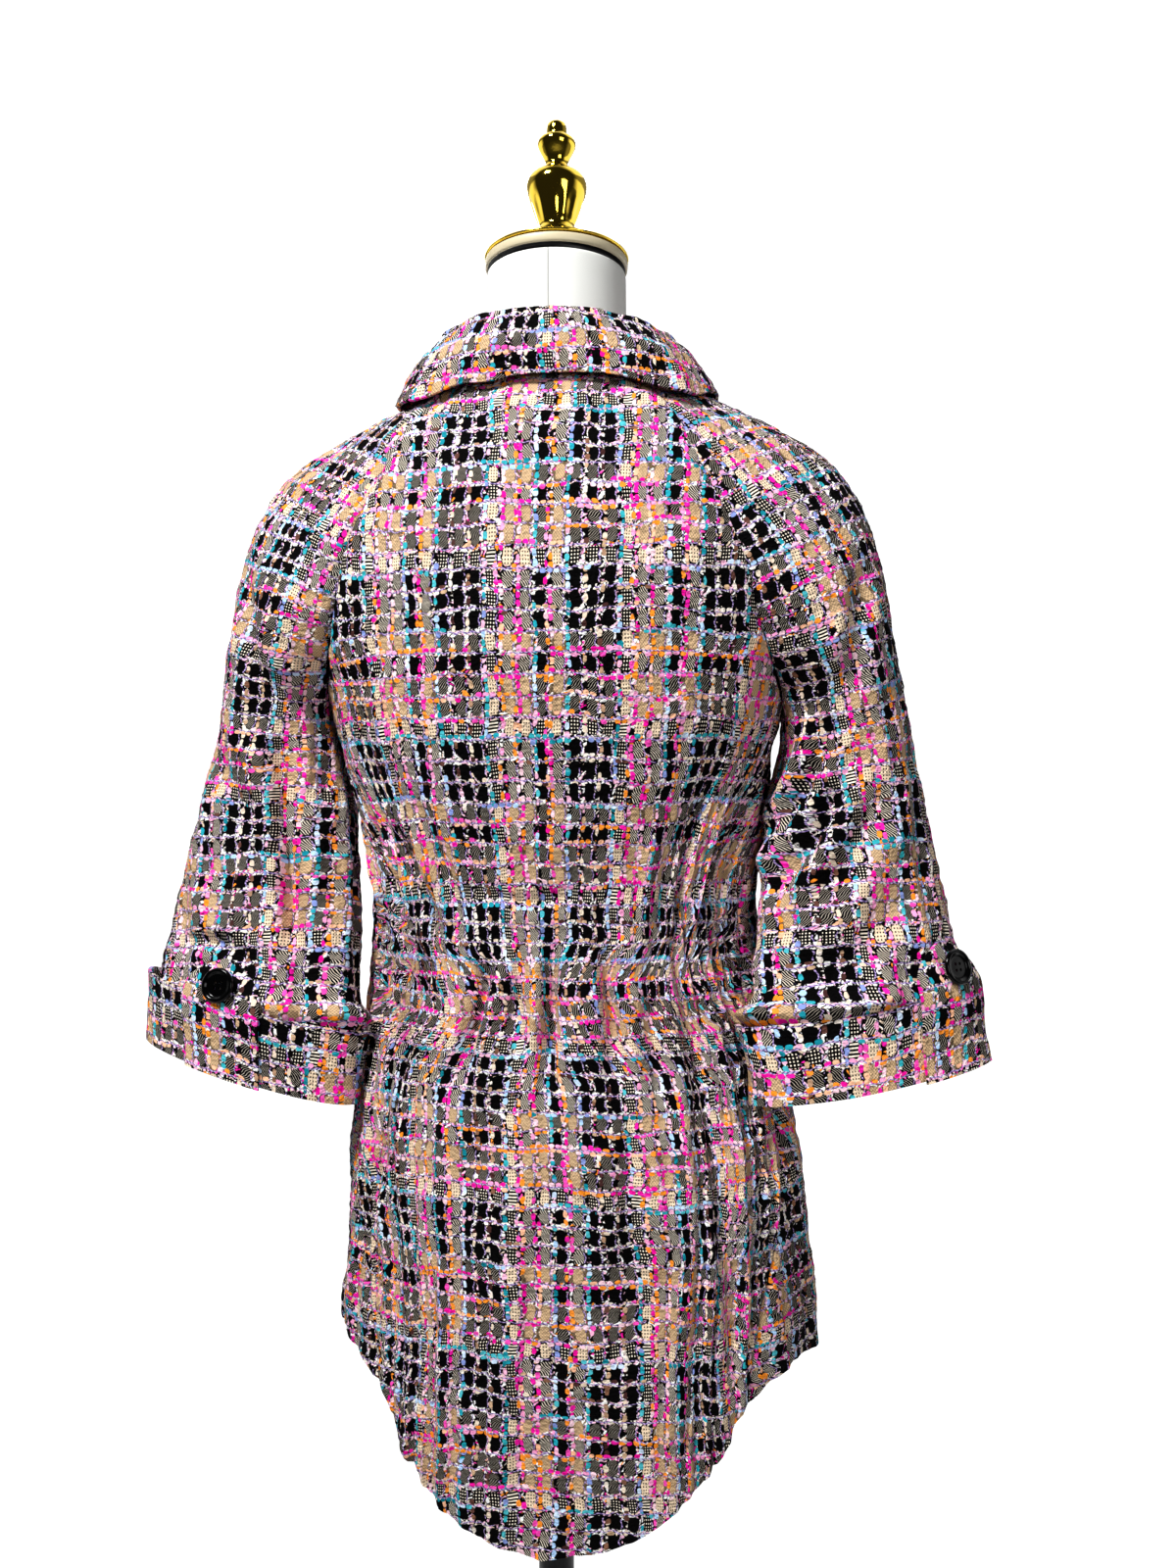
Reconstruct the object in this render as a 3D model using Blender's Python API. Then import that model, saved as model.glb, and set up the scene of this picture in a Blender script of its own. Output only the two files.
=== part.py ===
"""A boucle jacket worn by a limbless dress form on a pole stand.

Metres, +Z up, front towards -Y, the wearer's left towards +X. The origin is on the floor under the pole.
The jacket is one smooth skin cut into panels: a body of level sections, and two raglan sleeves whose rows
start on the body's own seam lines. Each panel is then given the thickness of the cloth.
"""

import functools
import math

import bmesh
import bpy
import numpy as np

# ---------------------------------------------------------------- driving sizes
CLOTH = 0.0024            # thickness of the boucle cloth
SEAM_GAP = 0.0004         # between two pieces that are sewn together
SEAT_GAP = 0.0003         # between two pieces that rest on each other
UNDERARM = 1.125          # height of the point where the four panels meet
WAIST = 0.975             # height of the waist tucks
NECK_RISE = 0.004         # how far the back neck rises above the raglan seams
NECK_DROP = 0.040         # how far the front neck drops below them
TAIL_SHIFT = 0.07         # the tail's lowest point, as a share of half the back
BUTTON_STAND = 0.016      # how far each front runs past the centre
CUFF_DEPTH = 0.050
BUTTON_RADIUS = 0.0126
BUTTON_THICKNESS = 0.0042
TAB_WIDTH = 0.058
TAB_BUTTON = 0.019        # the tab's button below its rounded end
FRONT_BUTTONS = (1.268, 1.150, 1.032, 0.914, 0.796)

NECK_RADIUS = 0.0535
NECK_TOP = 1.470
FORM_BOTTOM = 0.716
POLE_RADIUS = 0.0135
BASE_RADIUS = 0.170
BASE_HEIGHT = 0.022


class Table:
    """A short table with named columns. The first column is the place, and the rest are read off a smooth curve."""

    def __init__(self, columns, *rows):
        values = np.array(rows, float)
        order = np.argsort(values[:, 0])
        self.columns = dict(zip(columns.split(), values[order].T))
        self.place = values[order, 0]

    def at(self, name, place):
        """Cubic curve through the column's values, flat beyond the first and last row."""
        values = self.columns[name]
        slopes = np.gradient(values, self.place)
        place = np.clip(np.asarray(place, float), self.place[0], self.place[-1])
        row = np.clip(np.searchsorted(self.place, place) - 1, 0, len(self.place) - 2)
        step = self.place[row + 1] - self.place[row]
        f = (place - self.place[row]) / step
        return (
            values[row] * (1 + 2 * f) * (1 - f) ** 2
            + slopes[row] * step * f * (1 - f) ** 2
            + values[row + 1] * f**2 * (3 - 2 * f)
            + slopes[row + 1] * step * f**2 * (f - 1)
        )


# Level sections of the jacket's body. Above the underarm they are those of a whole torso with shoulders,
# of which the panels use only the part inside the raglan seams.
BODY = Table(
    "height half_width back front roundness sway",
    (1.385, 0.078, 0.064, 0.066, 2.0, 0.0),
    (1.376, 0.088, 0.067, 0.070, 2.0, 0.0),
    (1.362, 0.120, 0.076, 0.080, 2.0, 0.0),
    (1.340, 0.158, 0.088, 0.089, 2.1, 0.0),
    (1.300, 0.190, 0.101, 0.099, 2.3, 0.0),
    (1.250, 0.196, 0.110, 0.110, 2.5, 0.0),
    (1.190, 0.184, 0.113, 0.123, 2.4, 0.0),
    (1.125, 0.168, 0.108, 0.130, 2.3, 0.0),
    (1.060, 0.150, 0.098, 0.121, 2.2, 0.0),
    (0.975, 0.142, 0.088, 0.101, 2.1, -0.002),
    (0.900, 0.153, 0.100, 0.104, 2.1, -0.007),
    (0.820, 0.169, 0.115, 0.112, 2.2, -0.013),
    (0.740, 0.175, 0.121, 0.116, 2.2, -0.016),
    (0.650, 0.179, 0.124, 0.119, 2.2, -0.016),
    (0.560, 0.181, 0.122, 0.120, 2.2, -0.016),
)

# Raglan seams on that torso, in degrees from the side, back and front, by sleeve row: 0 at the neck, 7 underarm.
RAGLAN = Table(
    "row height back_angle front_angle",
    (0, 1.376, 34.0, 31.0),
    (1, 1.345, 38.0, 33.0),
    (2, 1.300, 37.5, 36.0),
    (3, 1.262, 34.5, 36.5),
    (4, 1.228, 31.0, 34.0),
    (5, 1.195, 26.5, 29.5),
    (6, 1.158, 17.5, 21.0),
    (7, 1.125, 0.0, 0.0),
)

# The side seam, in degrees towards the back from the side.
SIDE_SEAM = Table(
    "height angle",
    (1.125, 0.0),
    (1.060, 7.0),
    (0.975, 13.0),
    (0.850, 17.0),
    (0.790, 21.0),
    (0.720, 31.0),
    (0.660, 36.0),
    (0.560, 37.0),
)

# The shirt-tail hem: heights across half the back and half the front, 0 at the centre and 1 at the side seam.
HEM = Table(
    "place back front",
    (0.00, 0.567, 0.625),
    (0.25, 0.573, 0.632),
    (0.50, 0.585, 0.652),
    (0.65, 0.600, 0.666),
    (0.80, 0.621, 0.677),
    (0.90, 0.640, 0.678),
    (1.00, 0.664, 0.664),
)

# Sleeve rows, neck to hem: where the row passes over the arm, where it meets the inner seam (from row 7 on),
# and how strongly it sets off from each: back and front handles at the seam, and depth handles at the arm.
SLEEVE = Table(
    "row out_x out_y out_z in_x in_y in_z back_x back_y back_z front_x front_y front_z over_back over_front",
    (0, 0.083, 0.000, 1.379, 0.168, 0.000, 1.125, 0.004, -0.010, 0.002, 0.004, 0.010, 0.002, 0.012, 0.012),
    (1, 0.123, 0.000, 1.364, 0.168, 0.000, 1.125, 0.010, -0.018, 0.012, 0.010, 0.018, 0.012, 0.022, 0.022),
    (2, 0.164, 0.000, 1.344, 0.168, 0.000, 1.125, 0.022, -0.014, 0.018, 0.024, 0.016, 0.018, 0.034, 0.036),
    (3, 0.203, 0.000, 1.319, 0.168, 0.000, 1.125, 0.034, -0.006, 0.020, 0.038, 0.008, 0.020, 0.044, 0.048),
    (4, 0.227, 0.000, 1.285, 0.168, 0.000, 1.125, 0.040, 0.006, 0.015, 0.044, -0.004, 0.015, 0.054, 0.058),
    (5, 0.241, 0.000, 1.243, 0.168, 0.000, 1.125, 0.038, 0.024, 0.010, 0.042, -0.020, 0.010, 0.062, 0.064),
    (6, 0.251, 0.000, 1.190, 0.168, 0.000, 1.125, 0.026, 0.046, 0.006, 0.028, -0.046, 0.006, 0.070, 0.070),
    (7, 0.261, 0.000, 1.134, 0.168, 0.000, 1.125, 0.004, 0.080, 0.004, 0.004, -0.080, 0.004, 0.078, 0.074),
    (8, 0.274, 0.002, 1.070, 0.160, 0.006, 1.060, 0.000, 0.074, 0.000, 0.002, -0.070, 0.000, 0.074, 0.068),
    (9, 0.286, 0.008, 1.010, 0.154, 0.022, 0.996, 0.000, 0.068, 0.000, 0.006, -0.056, 0.000, 0.068, 0.058),
    (10, 0.295, 0.018, 0.956, 0.150, 0.044, 0.938, 0.000, 0.060, 0.000, 0.014, -0.040, 0.000, 0.060, 0.044),
    (11, 0.301, 0.028, 0.914, 0.149, 0.062, 0.890, 0.000, 0.054, 0.000, 0.024, -0.026, 0.000, 0.054, 0.032),
    (12, 0.304, 0.036, 0.886, 0.149, 0.070, 0.856, 0.000, 0.050, 0.000, 0.030, -0.018, 0.000, 0.050, 0.026),
)

# How each sleeve hangs below the underarm: turned about its own length in degrees, its outer side backwards,
# and its outer and inner sides moved away from the body and up.
HANG = {
    "left": Table(
        "row turn outer_x outer_z inner_x inner_z",
        (7.0, 0.0, 0.000, 0.000, 0.000, 0.000),
        (8.5, 2.0, 0.004, 0.000, -0.005, 0.000),
        (10.0, 5.0, 0.002, 0.003, -0.008, -0.003),
        (12.0, 9.0, -0.005, 0.006, -0.008, -0.006),
    ),
    "right": Table(
        "row turn outer_x outer_z inner_x inner_z",
        (7.0, 0.0, 0.000, 0.000, 0.000, 0.000),
        (8.5, 0.0, -0.003, 0.000, 0.008, 0.000),
        (10.0, 0.0, -0.002, 0.003, 0.007, 0.003),
        (12.0, 0.0, 0.004, 0.006, 0.005, 0.006),
    ),
}
UNDERARM_ROW = 7
HEM_ROW = 12
OVERARM_SEAM = 0.13       # the overarm seam behind the outer line, as a share of the sleeve's back half

# The collar, from the centre of the back (0) round to its front end: the fold above the neck seam,
# and the lower edge of the fall.
COLLAR = Table(
    "angle stand fold_out edge_x edge_y edge_z",
    (0, 0.035, 0.003, 0.000, 0.084, 1.370),
    (35, 0.034, 0.004, 0.060, 0.081, 1.367),
    (62, 0.032, 0.005, 0.104, 0.064, 1.358),
    (92, 0.030, 0.005, 0.122, 0.002, 1.370),
    (122, 0.027, 0.004, 0.109, -0.066, 1.350),
    (150, 0.023, 0.005, 0.090, -0.104, 1.297),
    (168, 0.019, 0.005, 0.074, -0.115, 1.268),
    (177, 0.016, 0.005, 0.064, -0.118, 1.258),
)
COLLAR_FOLD = 0.0034      # radius of the roll at the top
COLLAR_LIFT = 0.0008      # the collar's foot above the neck edge

# Waist tucks in the back: place across the half back (1 is the left side seam), half width and depth.
TUCKS = Table(
    "place half_width depth",
    (-0.42, 0.065, 0.0045),
    (-0.22, 0.060, 0.0065),
    (-0.03, 0.060, 0.0070),
    (0.165, 0.060, 0.0065),
    (0.36, 0.065, 0.0045),
)

# The form inside: a little smaller than the jacket everywhere except where the shoulders rest on it.
FORM = Table(
    "height half_width back front roundness",
    (1.470, 0.0535, 0.0535, 0.0535, 2.0),
    (1.400, 0.0540, 0.0540, 0.0540, 2.0),
    (1.3855, 0.0640, 0.0540, 0.0550, 2.0),
    (1.3745, 0.0830, 0.0570, 0.0580, 2.0),
    (1.3600, 0.1170, 0.0640, 0.0640, 1.9),
    (1.3380, 0.1470, 0.0740, 0.0740, 2.0),
    (1.300, 0.1680, 0.0880, 0.0880, 2.3),
    (1.250, 0.1700, 0.0970, 0.0990, 2.4),
    (1.190, 0.1600, 0.0980, 0.1100, 2.3),
    (1.125, 0.1500, 0.0930, 0.1160, 2.2),
    (1.060, 0.1330, 0.0820, 0.1050, 2.2),
    (0.975, 0.1180, 0.0700, 0.0840, 2.1),
    (0.900, 0.1330, 0.0840, 0.0900, 2.1),
    (0.820, 0.1480, 0.0990, 0.0980, 2.2),
    (0.760, 0.1510, 0.1040, 0.1000, 2.2),
    (0.716, 0.1500, 0.1030, 0.0990, 2.2),
)

# Turned profiles of the stand's finial and base: height above the piece's foot, and radius.
FINIAL = (
    (0.0000, 0.0150), (0.0084, 0.0152), (0.0098, 0.0139), (0.0200, 0.0174), (0.0300, 0.0214), (0.0392, 0.0232),
    (0.0450, 0.0219), (0.0498, 0.0172), (0.0528, 0.0120), (0.0548, 0.0088), (0.0590, 0.0087), (0.0650, 0.0116),
    (0.0726, 0.0148), (0.0776, 0.0122), (0.0806, 0.0080), (0.0868, 0.0078), (0.0906, 0.0056),
)
RIM = (
    (0, 0.0545), (0.0008, 0.0552), (0.0020, 0.0545), (0.0060, 0.0480), (0.0110, 0.0380), (0.0150, 0.0240),
    (0.0170, 0.0140),
)

SIDES = {"left": 1.0, "right": -1.0}
TAB_PLACE = {"left": 0.092, "right": 0.042}     # the tab's middle, behind the outer line of the sleeve
TAB_LENGTH = {"left": 0.080, "right": 0.086}    # from the sleeve hem to the rounded end


# Mesh layout: places across the back, and the sleeve rows at which the raglan seams have their points.
BACK_PLACES = np.array([
    -1, -0.89, -0.77, -0.66, -0.57, -0.49, -0.42, -0.35, -0.285, -0.22, -0.16, -0.095, -0.03, 0.035, 0.10, 0.165,
    0.23, 0.295, 0.36, 0.43, 0.50, 0.58, 0.67, 0.78, 0.89, 1,
])
FRONT_COLUMNS = 11
ROWS_BELOW = 14
SEAM_ROWS = np.array([0.0, 0.7, 1.4, 2.0, 2.6, 3.3, 4.1, 5.0, 6.0])
SLEEVE_ROWS = np.concatenate([SEAM_ROWS, np.linspace(UNDERARM_ROW, HEM_ROW, 9)])
SLEEVE_COLUMNS = 8


# ---------------------------------------------------------------- small helpers
def clear_scene():
    for thing in list(bpy.data.objects):
        bpy.data.objects.remove(thing, do_unlink=True)


def finish(name, colour, roughness, metallic=0.0):
    material = bpy.data.materials.new(name)
    material.use_nodes = True
    shader = material.node_tree.nodes["Principled BSDF"]
    shader.inputs["Base Color"].default_value = (*colour, 1.0)
    shader.inputs["Roughness"].default_value = roughness
    shader.inputs["Metallic"].default_value = metallic
    return material


def unit(vectors):
    return vectors / np.maximum(np.linalg.norm(vectors, axis=-1, keepdims=True), 1e-9)


def smoothstep(low, high, value):
    f = np.clip((np.asarray(value, float) - low) / (high - low), 0, 1)
    return f * f * (3 - 2 * f)


def lengths_along(points):
    """Distance from the first point to each point of a line."""
    steps = np.linalg.norm(np.diff(points, axis=0), axis=1)
    return np.concatenate([[0.0], np.cumsum(steps)])


def add_mesh(name, points, faces, material, smooth=True):
    mesh = bpy.data.meshes.new(name)
    mesh.from_pydata([tuple(p) for p in points], [], [tuple(f) for f in faces])
    body = bmesh.new()
    body.from_mesh(mesh)
    if body.calc_volume(signed=True) < 0:
        bmesh.ops.reverse_faces(body, faces=body.faces[:])
    body.to_mesh(mesh)
    body.free()
    mesh.materials.append(material)
    if smooth:
        mesh.shade_smooth()
        mesh.set_sharp_from_angle(angle=math.radians(40))
    thing = bpy.data.objects.new(name, mesh)
    bpy.context.scene.collection.objects.link(thing)
    return thing


# ---------------------------------------------------------------- the body's skin
def tuck_relief(place, height):
    """How far the waist tucks draw the back in: sharp at the waist, opening out above and below."""
    above = np.clip((height - WAIST) / 0.085, 0, 1)
    below = np.clip((WAIST - height) / 0.170, 0, 1)
    fade = (1 - above) ** 2 * (1 - below) ** 2
    total = np.zeros(np.broadcast(place, height).shape)
    for centre, half_width, depth in zip(*TUCKS.columns.values()):
        total = total - depth * fade * np.exp(-(((place - centre) / half_width) ** 2))
    return total


def body_point(angle, height, out=0.0):
    """A point of the torso's section at this height, `angle` radians from the left side towards the back."""
    half_width = BODY.at("half_width", height) + out
    depth = np.where(np.sin(angle) > 0, BODY.at("back", height), BODY.at("front", height)) + out
    power = BODY.at("roundness", height)
    cosine, sine = np.cos(angle), np.sin(angle)
    radius = (np.abs(cosine / half_width) ** power + np.abs(sine / depth) ** power) ** (-1 / power)
    return np.stack([radius * cosine + BODY.at("sway", height), radius * sine, height + 0 * angle], axis=-1)


def row_at_height(height):
    """The sleeve row whose seam point lies at this height."""
    rows = np.linspace(0, UNDERARM_ROW, 281)
    heights = RAGLAN.at("height", rows)
    return np.interp(-np.asarray(height, float), -heights, rows)


def seam_angle(height, back):
    """Angle of the seam that bounds the panel: the raglan seam above the underarm, the side seam below it."""
    row = row_at_height(height)
    raglan = np.radians(RAGLAN.at("back_angle" if back else "front_angle", row)) * (1 if back else -1)
    side = np.radians(SIDE_SEAM.at("angle", height))
    return np.where(np.asarray(height) > UNDERARM, raglan, side)


def panel_angle(place, height, back):
    """Angle at a place across half a panel, 0 at the centre and 1 at its seam, evenly by length."""
    place, height = np.broadcast_arrays(np.asarray(place, float), np.asarray(height, float))
    centre = math.pi / 2 if back else -math.pi / 2
    seam = seam_angle(height, back)
    share = np.linspace(0, 1, 49)
    angles = centre + (seam[..., None] - centre) * share
    points = body_point(angles, height[..., None] + 0 * angles)
    steps = np.linalg.norm(np.diff(points, axis=-2), axis=-1)
    run = np.concatenate([np.zeros(steps.shape[:-1] + (1,)), np.cumsum(steps, axis=-1)], axis=-1)
    wanted = np.abs(place) * run[..., -1]
    flat_run, flat_wanted = run.reshape(-1, 49), wanted.reshape(-1)
    found = np.array([np.interp(w, r, share) for w, r in zip(flat_wanted, flat_run)])
    return centre + (seam - centre) * found.reshape(place.shape), run[..., -1]


def hem_height(place, back):
    """Height of the hem at a place. The tail hangs a little to the wearer's left."""
    place = np.clip(place, -1, 1)
    if back:
        place = place - TAIL_SHIFT * (1 - np.abs(place))
    return HEM.at("back" if back else "front", np.abs(place))


def panel_heights(places, rows_below, back):
    """Heights of a body panel's rows, hem to neck. Above the underarm they meet the sleeve's rows."""
    share = np.linspace(0, 1, rows_below + 1)[:, None]
    hem = hem_height(places, back)[None, :]
    below = hem + (UNDERARM - hem) * share
    rows = SEAM_ROWS[::-1]
    heights = RAGLAN.at("height", rows)[:, None]
    inside = 1 - np.minimum(np.abs(places), 1)[None, :] ** 1.7
    if back:
        lift = NECK_RISE * inside * (1 - rows[:, None] / UNDERARM_ROW)
    else:
        lift = -NECK_DROP * inside * np.clip(1 - rows[:, None] / 5, 0, 1)
    return np.concatenate([below, heights + lift])


def body_grid(places, rows_below, back):
    """Points of a body panel. A positive place is on the wearer's left, beyond +1 or -1 never used."""
    heights = panel_heights(places, rows_below, back)
    angle, _ = panel_angle(np.broadcast_to(places, heights.shape), heights, back)
    relief = tuck_relief(places[None, :], heights) if back else 0 * heights
    points = body_point(angle, heights, relief)
    mirrored = places < 0
    sway = BODY.at("sway", heights)
    points[:, mirrored, 0] = 2 * sway[:, mirrored] - points[:, mirrored, 0]
    return points


# ---------------------------------------------------------------- the sleeves' skin
def bezier(start, start_handle, end_handle, end, count):
    f = np.linspace(0, 1, count)[:, None]
    return (
        (1 - f) ** 3 * start
        + 3 * f * (1 - f) ** 2 * (start + start_handle)
        + 3 * f**2 * (1 - f) * (end + end_handle)
        + f**3 * end
    )


@functools.lru_cache(maxsize=None)
def sleeve_half(side, row, back, count=49):
    """Half a sleeve row, drawn as if on the left: from the outer line of the arm to the seam."""
    def read(*names):
        return np.array([float(SLEEVE.at(name, row)) for name in names])

    outer = read("out_x", "out_y", "out_z")
    if row < UNDERARM_ROW:
        height = float(RAGLAN.at("height", row))
        seam = body_point(np.array(seam_angle(height, back)), np.array(height))
    else:
        seam = read("in_x", "in_y", "in_z")
    names = ("back_x", "back_y", "back_z") if back else ("front_x", "front_y", "front_z")
    seam_handle = read(*names)
    reach = read("over_back")[0] if back else -read("over_front")[0]
    line = bezier(outer, np.array([0.0, reach, 0.0]), seam_handle, seam, count)
    if row > UNDERARM_ROW:
        line = hang(side, row, line, outer, seam)
    return line


def hang(side, row, line, outer, inner):
    """Turns and shifts a row of the loose part of the sleeve as it hangs on this side."""
    table = HANG[side]
    turn = math.radians(table.at("turn", row))
    centre = (outer + inner) / 2
    offset = line - centre
    turned_x = math.cos(turn) * offset[:, 0] - math.sin(turn) * offset[:, 1]
    turned_y = math.cos(turn) * offset[:, 1] + math.sin(turn) * offset[:, 0]
    share = np.clip((line[:, 0] - inner[0]) / (outer[0] - inner[0]), 0, 1)
    shift_x = share * table.at("outer_x", row) + (1 - share) * table.at("inner_x", row)
    shift_z = share * table.at("outer_z", row) + (1 - share) * table.at("inner_z", row)
    return centre + np.stack([turned_x + shift_x, turned_y, offset[:, 2] + shift_z], axis=1)


def sleeve_points(side, row, distances):
    """Points of a sleeve row at signed distances from the outer line, positive towards the back."""
    row = round(float(row), 6)
    distances = np.asarray(distances, float)
    found = np.empty((len(distances), 3))
    for back in (True, False):
        half = sleeve_half(side, row, back)
        run = lengths_along(half)
        chosen = distances >= 0 if back else distances < 0
        wanted = np.abs(distances[chosen])
        for axis in range(3):
            found[chosen, axis] = np.interp(wanted, run, half[:, axis])
    return found


@functools.lru_cache(maxsize=None)
def half_girths(side, row):
    return tuple(lengths_along(sleeve_half(side, row, back))[-1] for back in (True, False))


def panel_places(side, row, back):
    """Places of one sleeve panel's columns, from its lower seam to the overarm seam."""
    back_girth, front_girth = half_girths(side, round(float(row), 6))
    overarm = OVERARM_SEAM * smoothstep(0, 3, row) * back_girth
    return np.linspace(back_girth if back else -front_girth, overarm, SLEEVE_COLUMNS + 1)


def sleeve_grid(side, rows, back):
    return np.array([sleeve_points(side, row, panel_places(side, row, back)) for row in rows])


# ---------------------------------------------------------------- from skin to cloth
def grid_normals(grid, outward):
    """Normals of a grid of points, turned to the side that `outward` points to."""
    along = np.gradient(grid, axis=0)
    across = np.gradient(grid, axis=1)
    normals = unit(np.cross(along, across))
    return normals if (normals * outward).sum() > 0 else -normals


class Skin:
    """Panels that share seams. At a seam both panels use one normal, so their walls part along one face."""

    RIM = (np.s_[0, :], np.s_[-1, :], np.s_[1:-1, 0], np.s_[1:-1, -1])

    def __init__(self):
        self.panels = {}
        self.shared = {}

    @staticmethod
    def key(point):
        return tuple(np.round(point * 20000).astype(int))

    def add(self, name, grid, centre_line):
        normals = grid_normals(grid, grid - centre_line)
        self.panels[name] = (grid, normals)
        for part in self.RIM:
            for point, normal in zip(grid[part], normals[part]):
                self.shared.setdefault(self.key(point), []).append(normal)

    def seam_normal(self, point, own):
        """Mean of the normals that meet here, leaving out any on the far side of a sharp crease."""
        together = [normal for normal in self.shared[self.key(point)] if normal @ own > -0.2]
        return unit(np.sum(together, axis=0))

    def wall(self, name):
        """Outer and inner points of a panel, drawn back a little from its edges."""
        grid, normals = self.panels[name]
        normals = normals.copy()
        for part in self.RIM:
            normals[part] = [self.seam_normal(point, own) for point, own in zip(grid[part], normals[part])]
        outer, inner = grid.copy(), grid - normals * CLOTH
        for points in (outer, inner):
            for edge, beside in ((0, 1), (-1, -2)):
                points[:, edge] += unit(points[:, beside] - points[:, edge]) * SEAM_GAP / 2
                points[edge] += unit(points[beside] - points[edge]) * SEAM_GAP / 2
        return outer, inner


def wall_mesh(outer, inner, closed=False):
    """Points and triangles of a wall between two grids. A closed wall runs round, as a cuff does."""
    rows, columns = outer.shape[:2]
    points = np.concatenate([outer.reshape(-1, 3), inner.reshape(-1, 3)])
    index = np.arange(rows * columns).reshape(rows, columns)
    under = index + rows * columns
    faces = []

    def quad(a, b, c, d, first_diagonal):
        faces.extend([(a, b, c), (a, c, d)] if first_diagonal else [(a, b, d), (b, c, d)])

    last = columns if closed else columns - 1
    for r in range(rows - 1):
        for c in range(last):
            d = (c + 1) % columns
            short = np.linalg.norm(outer[r, c] - outer[r + 1, d]) < np.linalg.norm(outer[r, d] - outer[r + 1, c])
            quad(index[r, c], index[r, d], index[r + 1, d], index[r + 1, c], short)
            quad(under[r, c], under[r + 1, c], under[r + 1, d], under[r, d], short)
    for c in range(last):
        d = (c + 1) % columns
        quad(index[0, c], under[0, c], under[0, d], index[0, d], True)
        quad(index[-1, c], index[-1, d], under[-1, d], under[-1, c], True)
    if not closed:
        for r in range(rows - 1):
            quad(index[r, 0], index[r + 1, 0], under[r + 1, 0], under[r, 0], True)
            quad(index[r, -1], under[r, -1], under[r + 1, -1], index[r + 1, -1], True)
    return points, faces


# ---------------------------------------------------------------- the jacket's pieces
def front_grid(side):
    """A front from its side seam to past the centre. The left front runs on under the right one."""
    places = np.linspace(1, 0, FRONT_COLUMNS)
    grid = body_grid(places, ROWS_BELOW, back=False)
    centre = grid[:, -1:].copy()
    past = centre - np.array([BUTTON_STAND, 0.0, 0.0])
    grid = np.concatenate([grid, past], axis=1)
    if side == "left":
        grid[..., 1] += smoothstep(0.060, 0.022, grid[..., 0]) * (CLOTH + 0.0012)
        return grid
    sway = BODY.at("sway", grid[..., 2])
    grid[..., 0] = 2 * sway - grid[..., 0]
    return grid


def make_panels(cloth):
    skin = Skin()
    back = body_grid(BACK_PLACES, ROWS_BELOW, back=True)
    skin.add("back", back, back * np.array([0.0, 0.0, 1.0]))
    for side, sign in SIDES.items():
        front = front_grid(side)
        skin.add(f"front_{side}", front, front * np.array([0.0, 0.0, 1.0]))
        mirror = np.array([sign, 1.0, 1.0])
        halves = {name: sleeve_grid(side, SLEEVE_ROWS, name == "back") for name in ("back", "front")}
        middle = (halves["back"].mean(axis=1) + halves["front"].mean(axis=1)) / 2
        middle[: len(SEAM_ROWS)] -= np.array([0.02, 0.0, 0.05])
        for name, grid in halves.items():
            skin.add(f"sleeve_{name}_{side}", grid * mirror, (middle * mirror)[:, None, :])
    for name in skin.panels:
        add_mesh(name, *wall_mesh(*skin.wall(name)), cloth)


def neckline():
    """The top edge of the skin as (angle from the centre of the back, radius, height), on the left."""
    places = np.linspace(0, 1, 12)
    line = np.concatenate([
        body_grid(places, 1, back=True)[-1],
        sleeve_half("left", 0.0, True, 9)[::-1],
        sleeve_half("left", 0.0, False, 9),
        body_grid(places[::-1], 1, back=False)[-1],
    ])
    angle = np.degrees(np.arctan2(line[:, 0], line[:, 1]))
    order = np.argsort(angle)
    return angle[order], np.hypot(line[:, 0], line[:, 1])[order], line[order, 2]


def collar_section(angle, neck):
    """Middle line of the collar at an angle: up the stand, over the roll, down the fall."""
    turn = math.radians(angle)
    out = np.array([math.sin(turn), math.cos(turn), 0.0])
    up = np.array([0.0, 0.0, 1.0])
    radius = np.interp(angle, neck[0], neck[1]) - CLOTH / 2
    foot = out * radius + up * (np.interp(angle, neck[0], neck[2]) + COLLAR_LIFT)
    top = foot + out * COLLAR.at("fold_out", angle) + up * (COLLAR.at("stand", angle) - COLLAR_FOLD)
    edge = np.array([COLLAR.at(name, angle) for name in ("edge_x", "edge_y", "edge_z")])
    points = [foot, (foot + top) / 2]
    for roll in np.radians([0, 60, 120, 180]):
        points.append(top + COLLAR_FOLD * (out * (1 - math.cos(roll)) + up * math.sin(roll)))
    start = points[-1]
    for f in (0.33, 0.67, 1.0):
        points.append(start + (edge - start) * f + (out * 0.004 + up * 0.001) * math.sin(math.pi * f))
    return np.array(points)


def make_collar(cloth):
    neck = neckline()
    half = np.array([12, 24, 36, 46, 54, 62, 72, 82, 92, 102, 112, 121, 130, 140, 150, 160, 169, COLLAR.place[-1]])
    angles = np.concatenate([-half[::-1], [0.0], half])
    mirrors = [np.array([math.copysign(1, angle), 1, 1]) for angle in angles]
    grid = np.array([collar_section(abs(angle), neck) * mirror for angle, mirror in zip(angles, mirrors)])
    normals = unit(np.cross(np.gradient(grid, axis=1), np.gradient(grid, axis=0)))
    add_mesh("collar", *wall_mesh(grid + normals * CLOTH / 2, grid - normals * CLOTH / 2), cloth)


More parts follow.
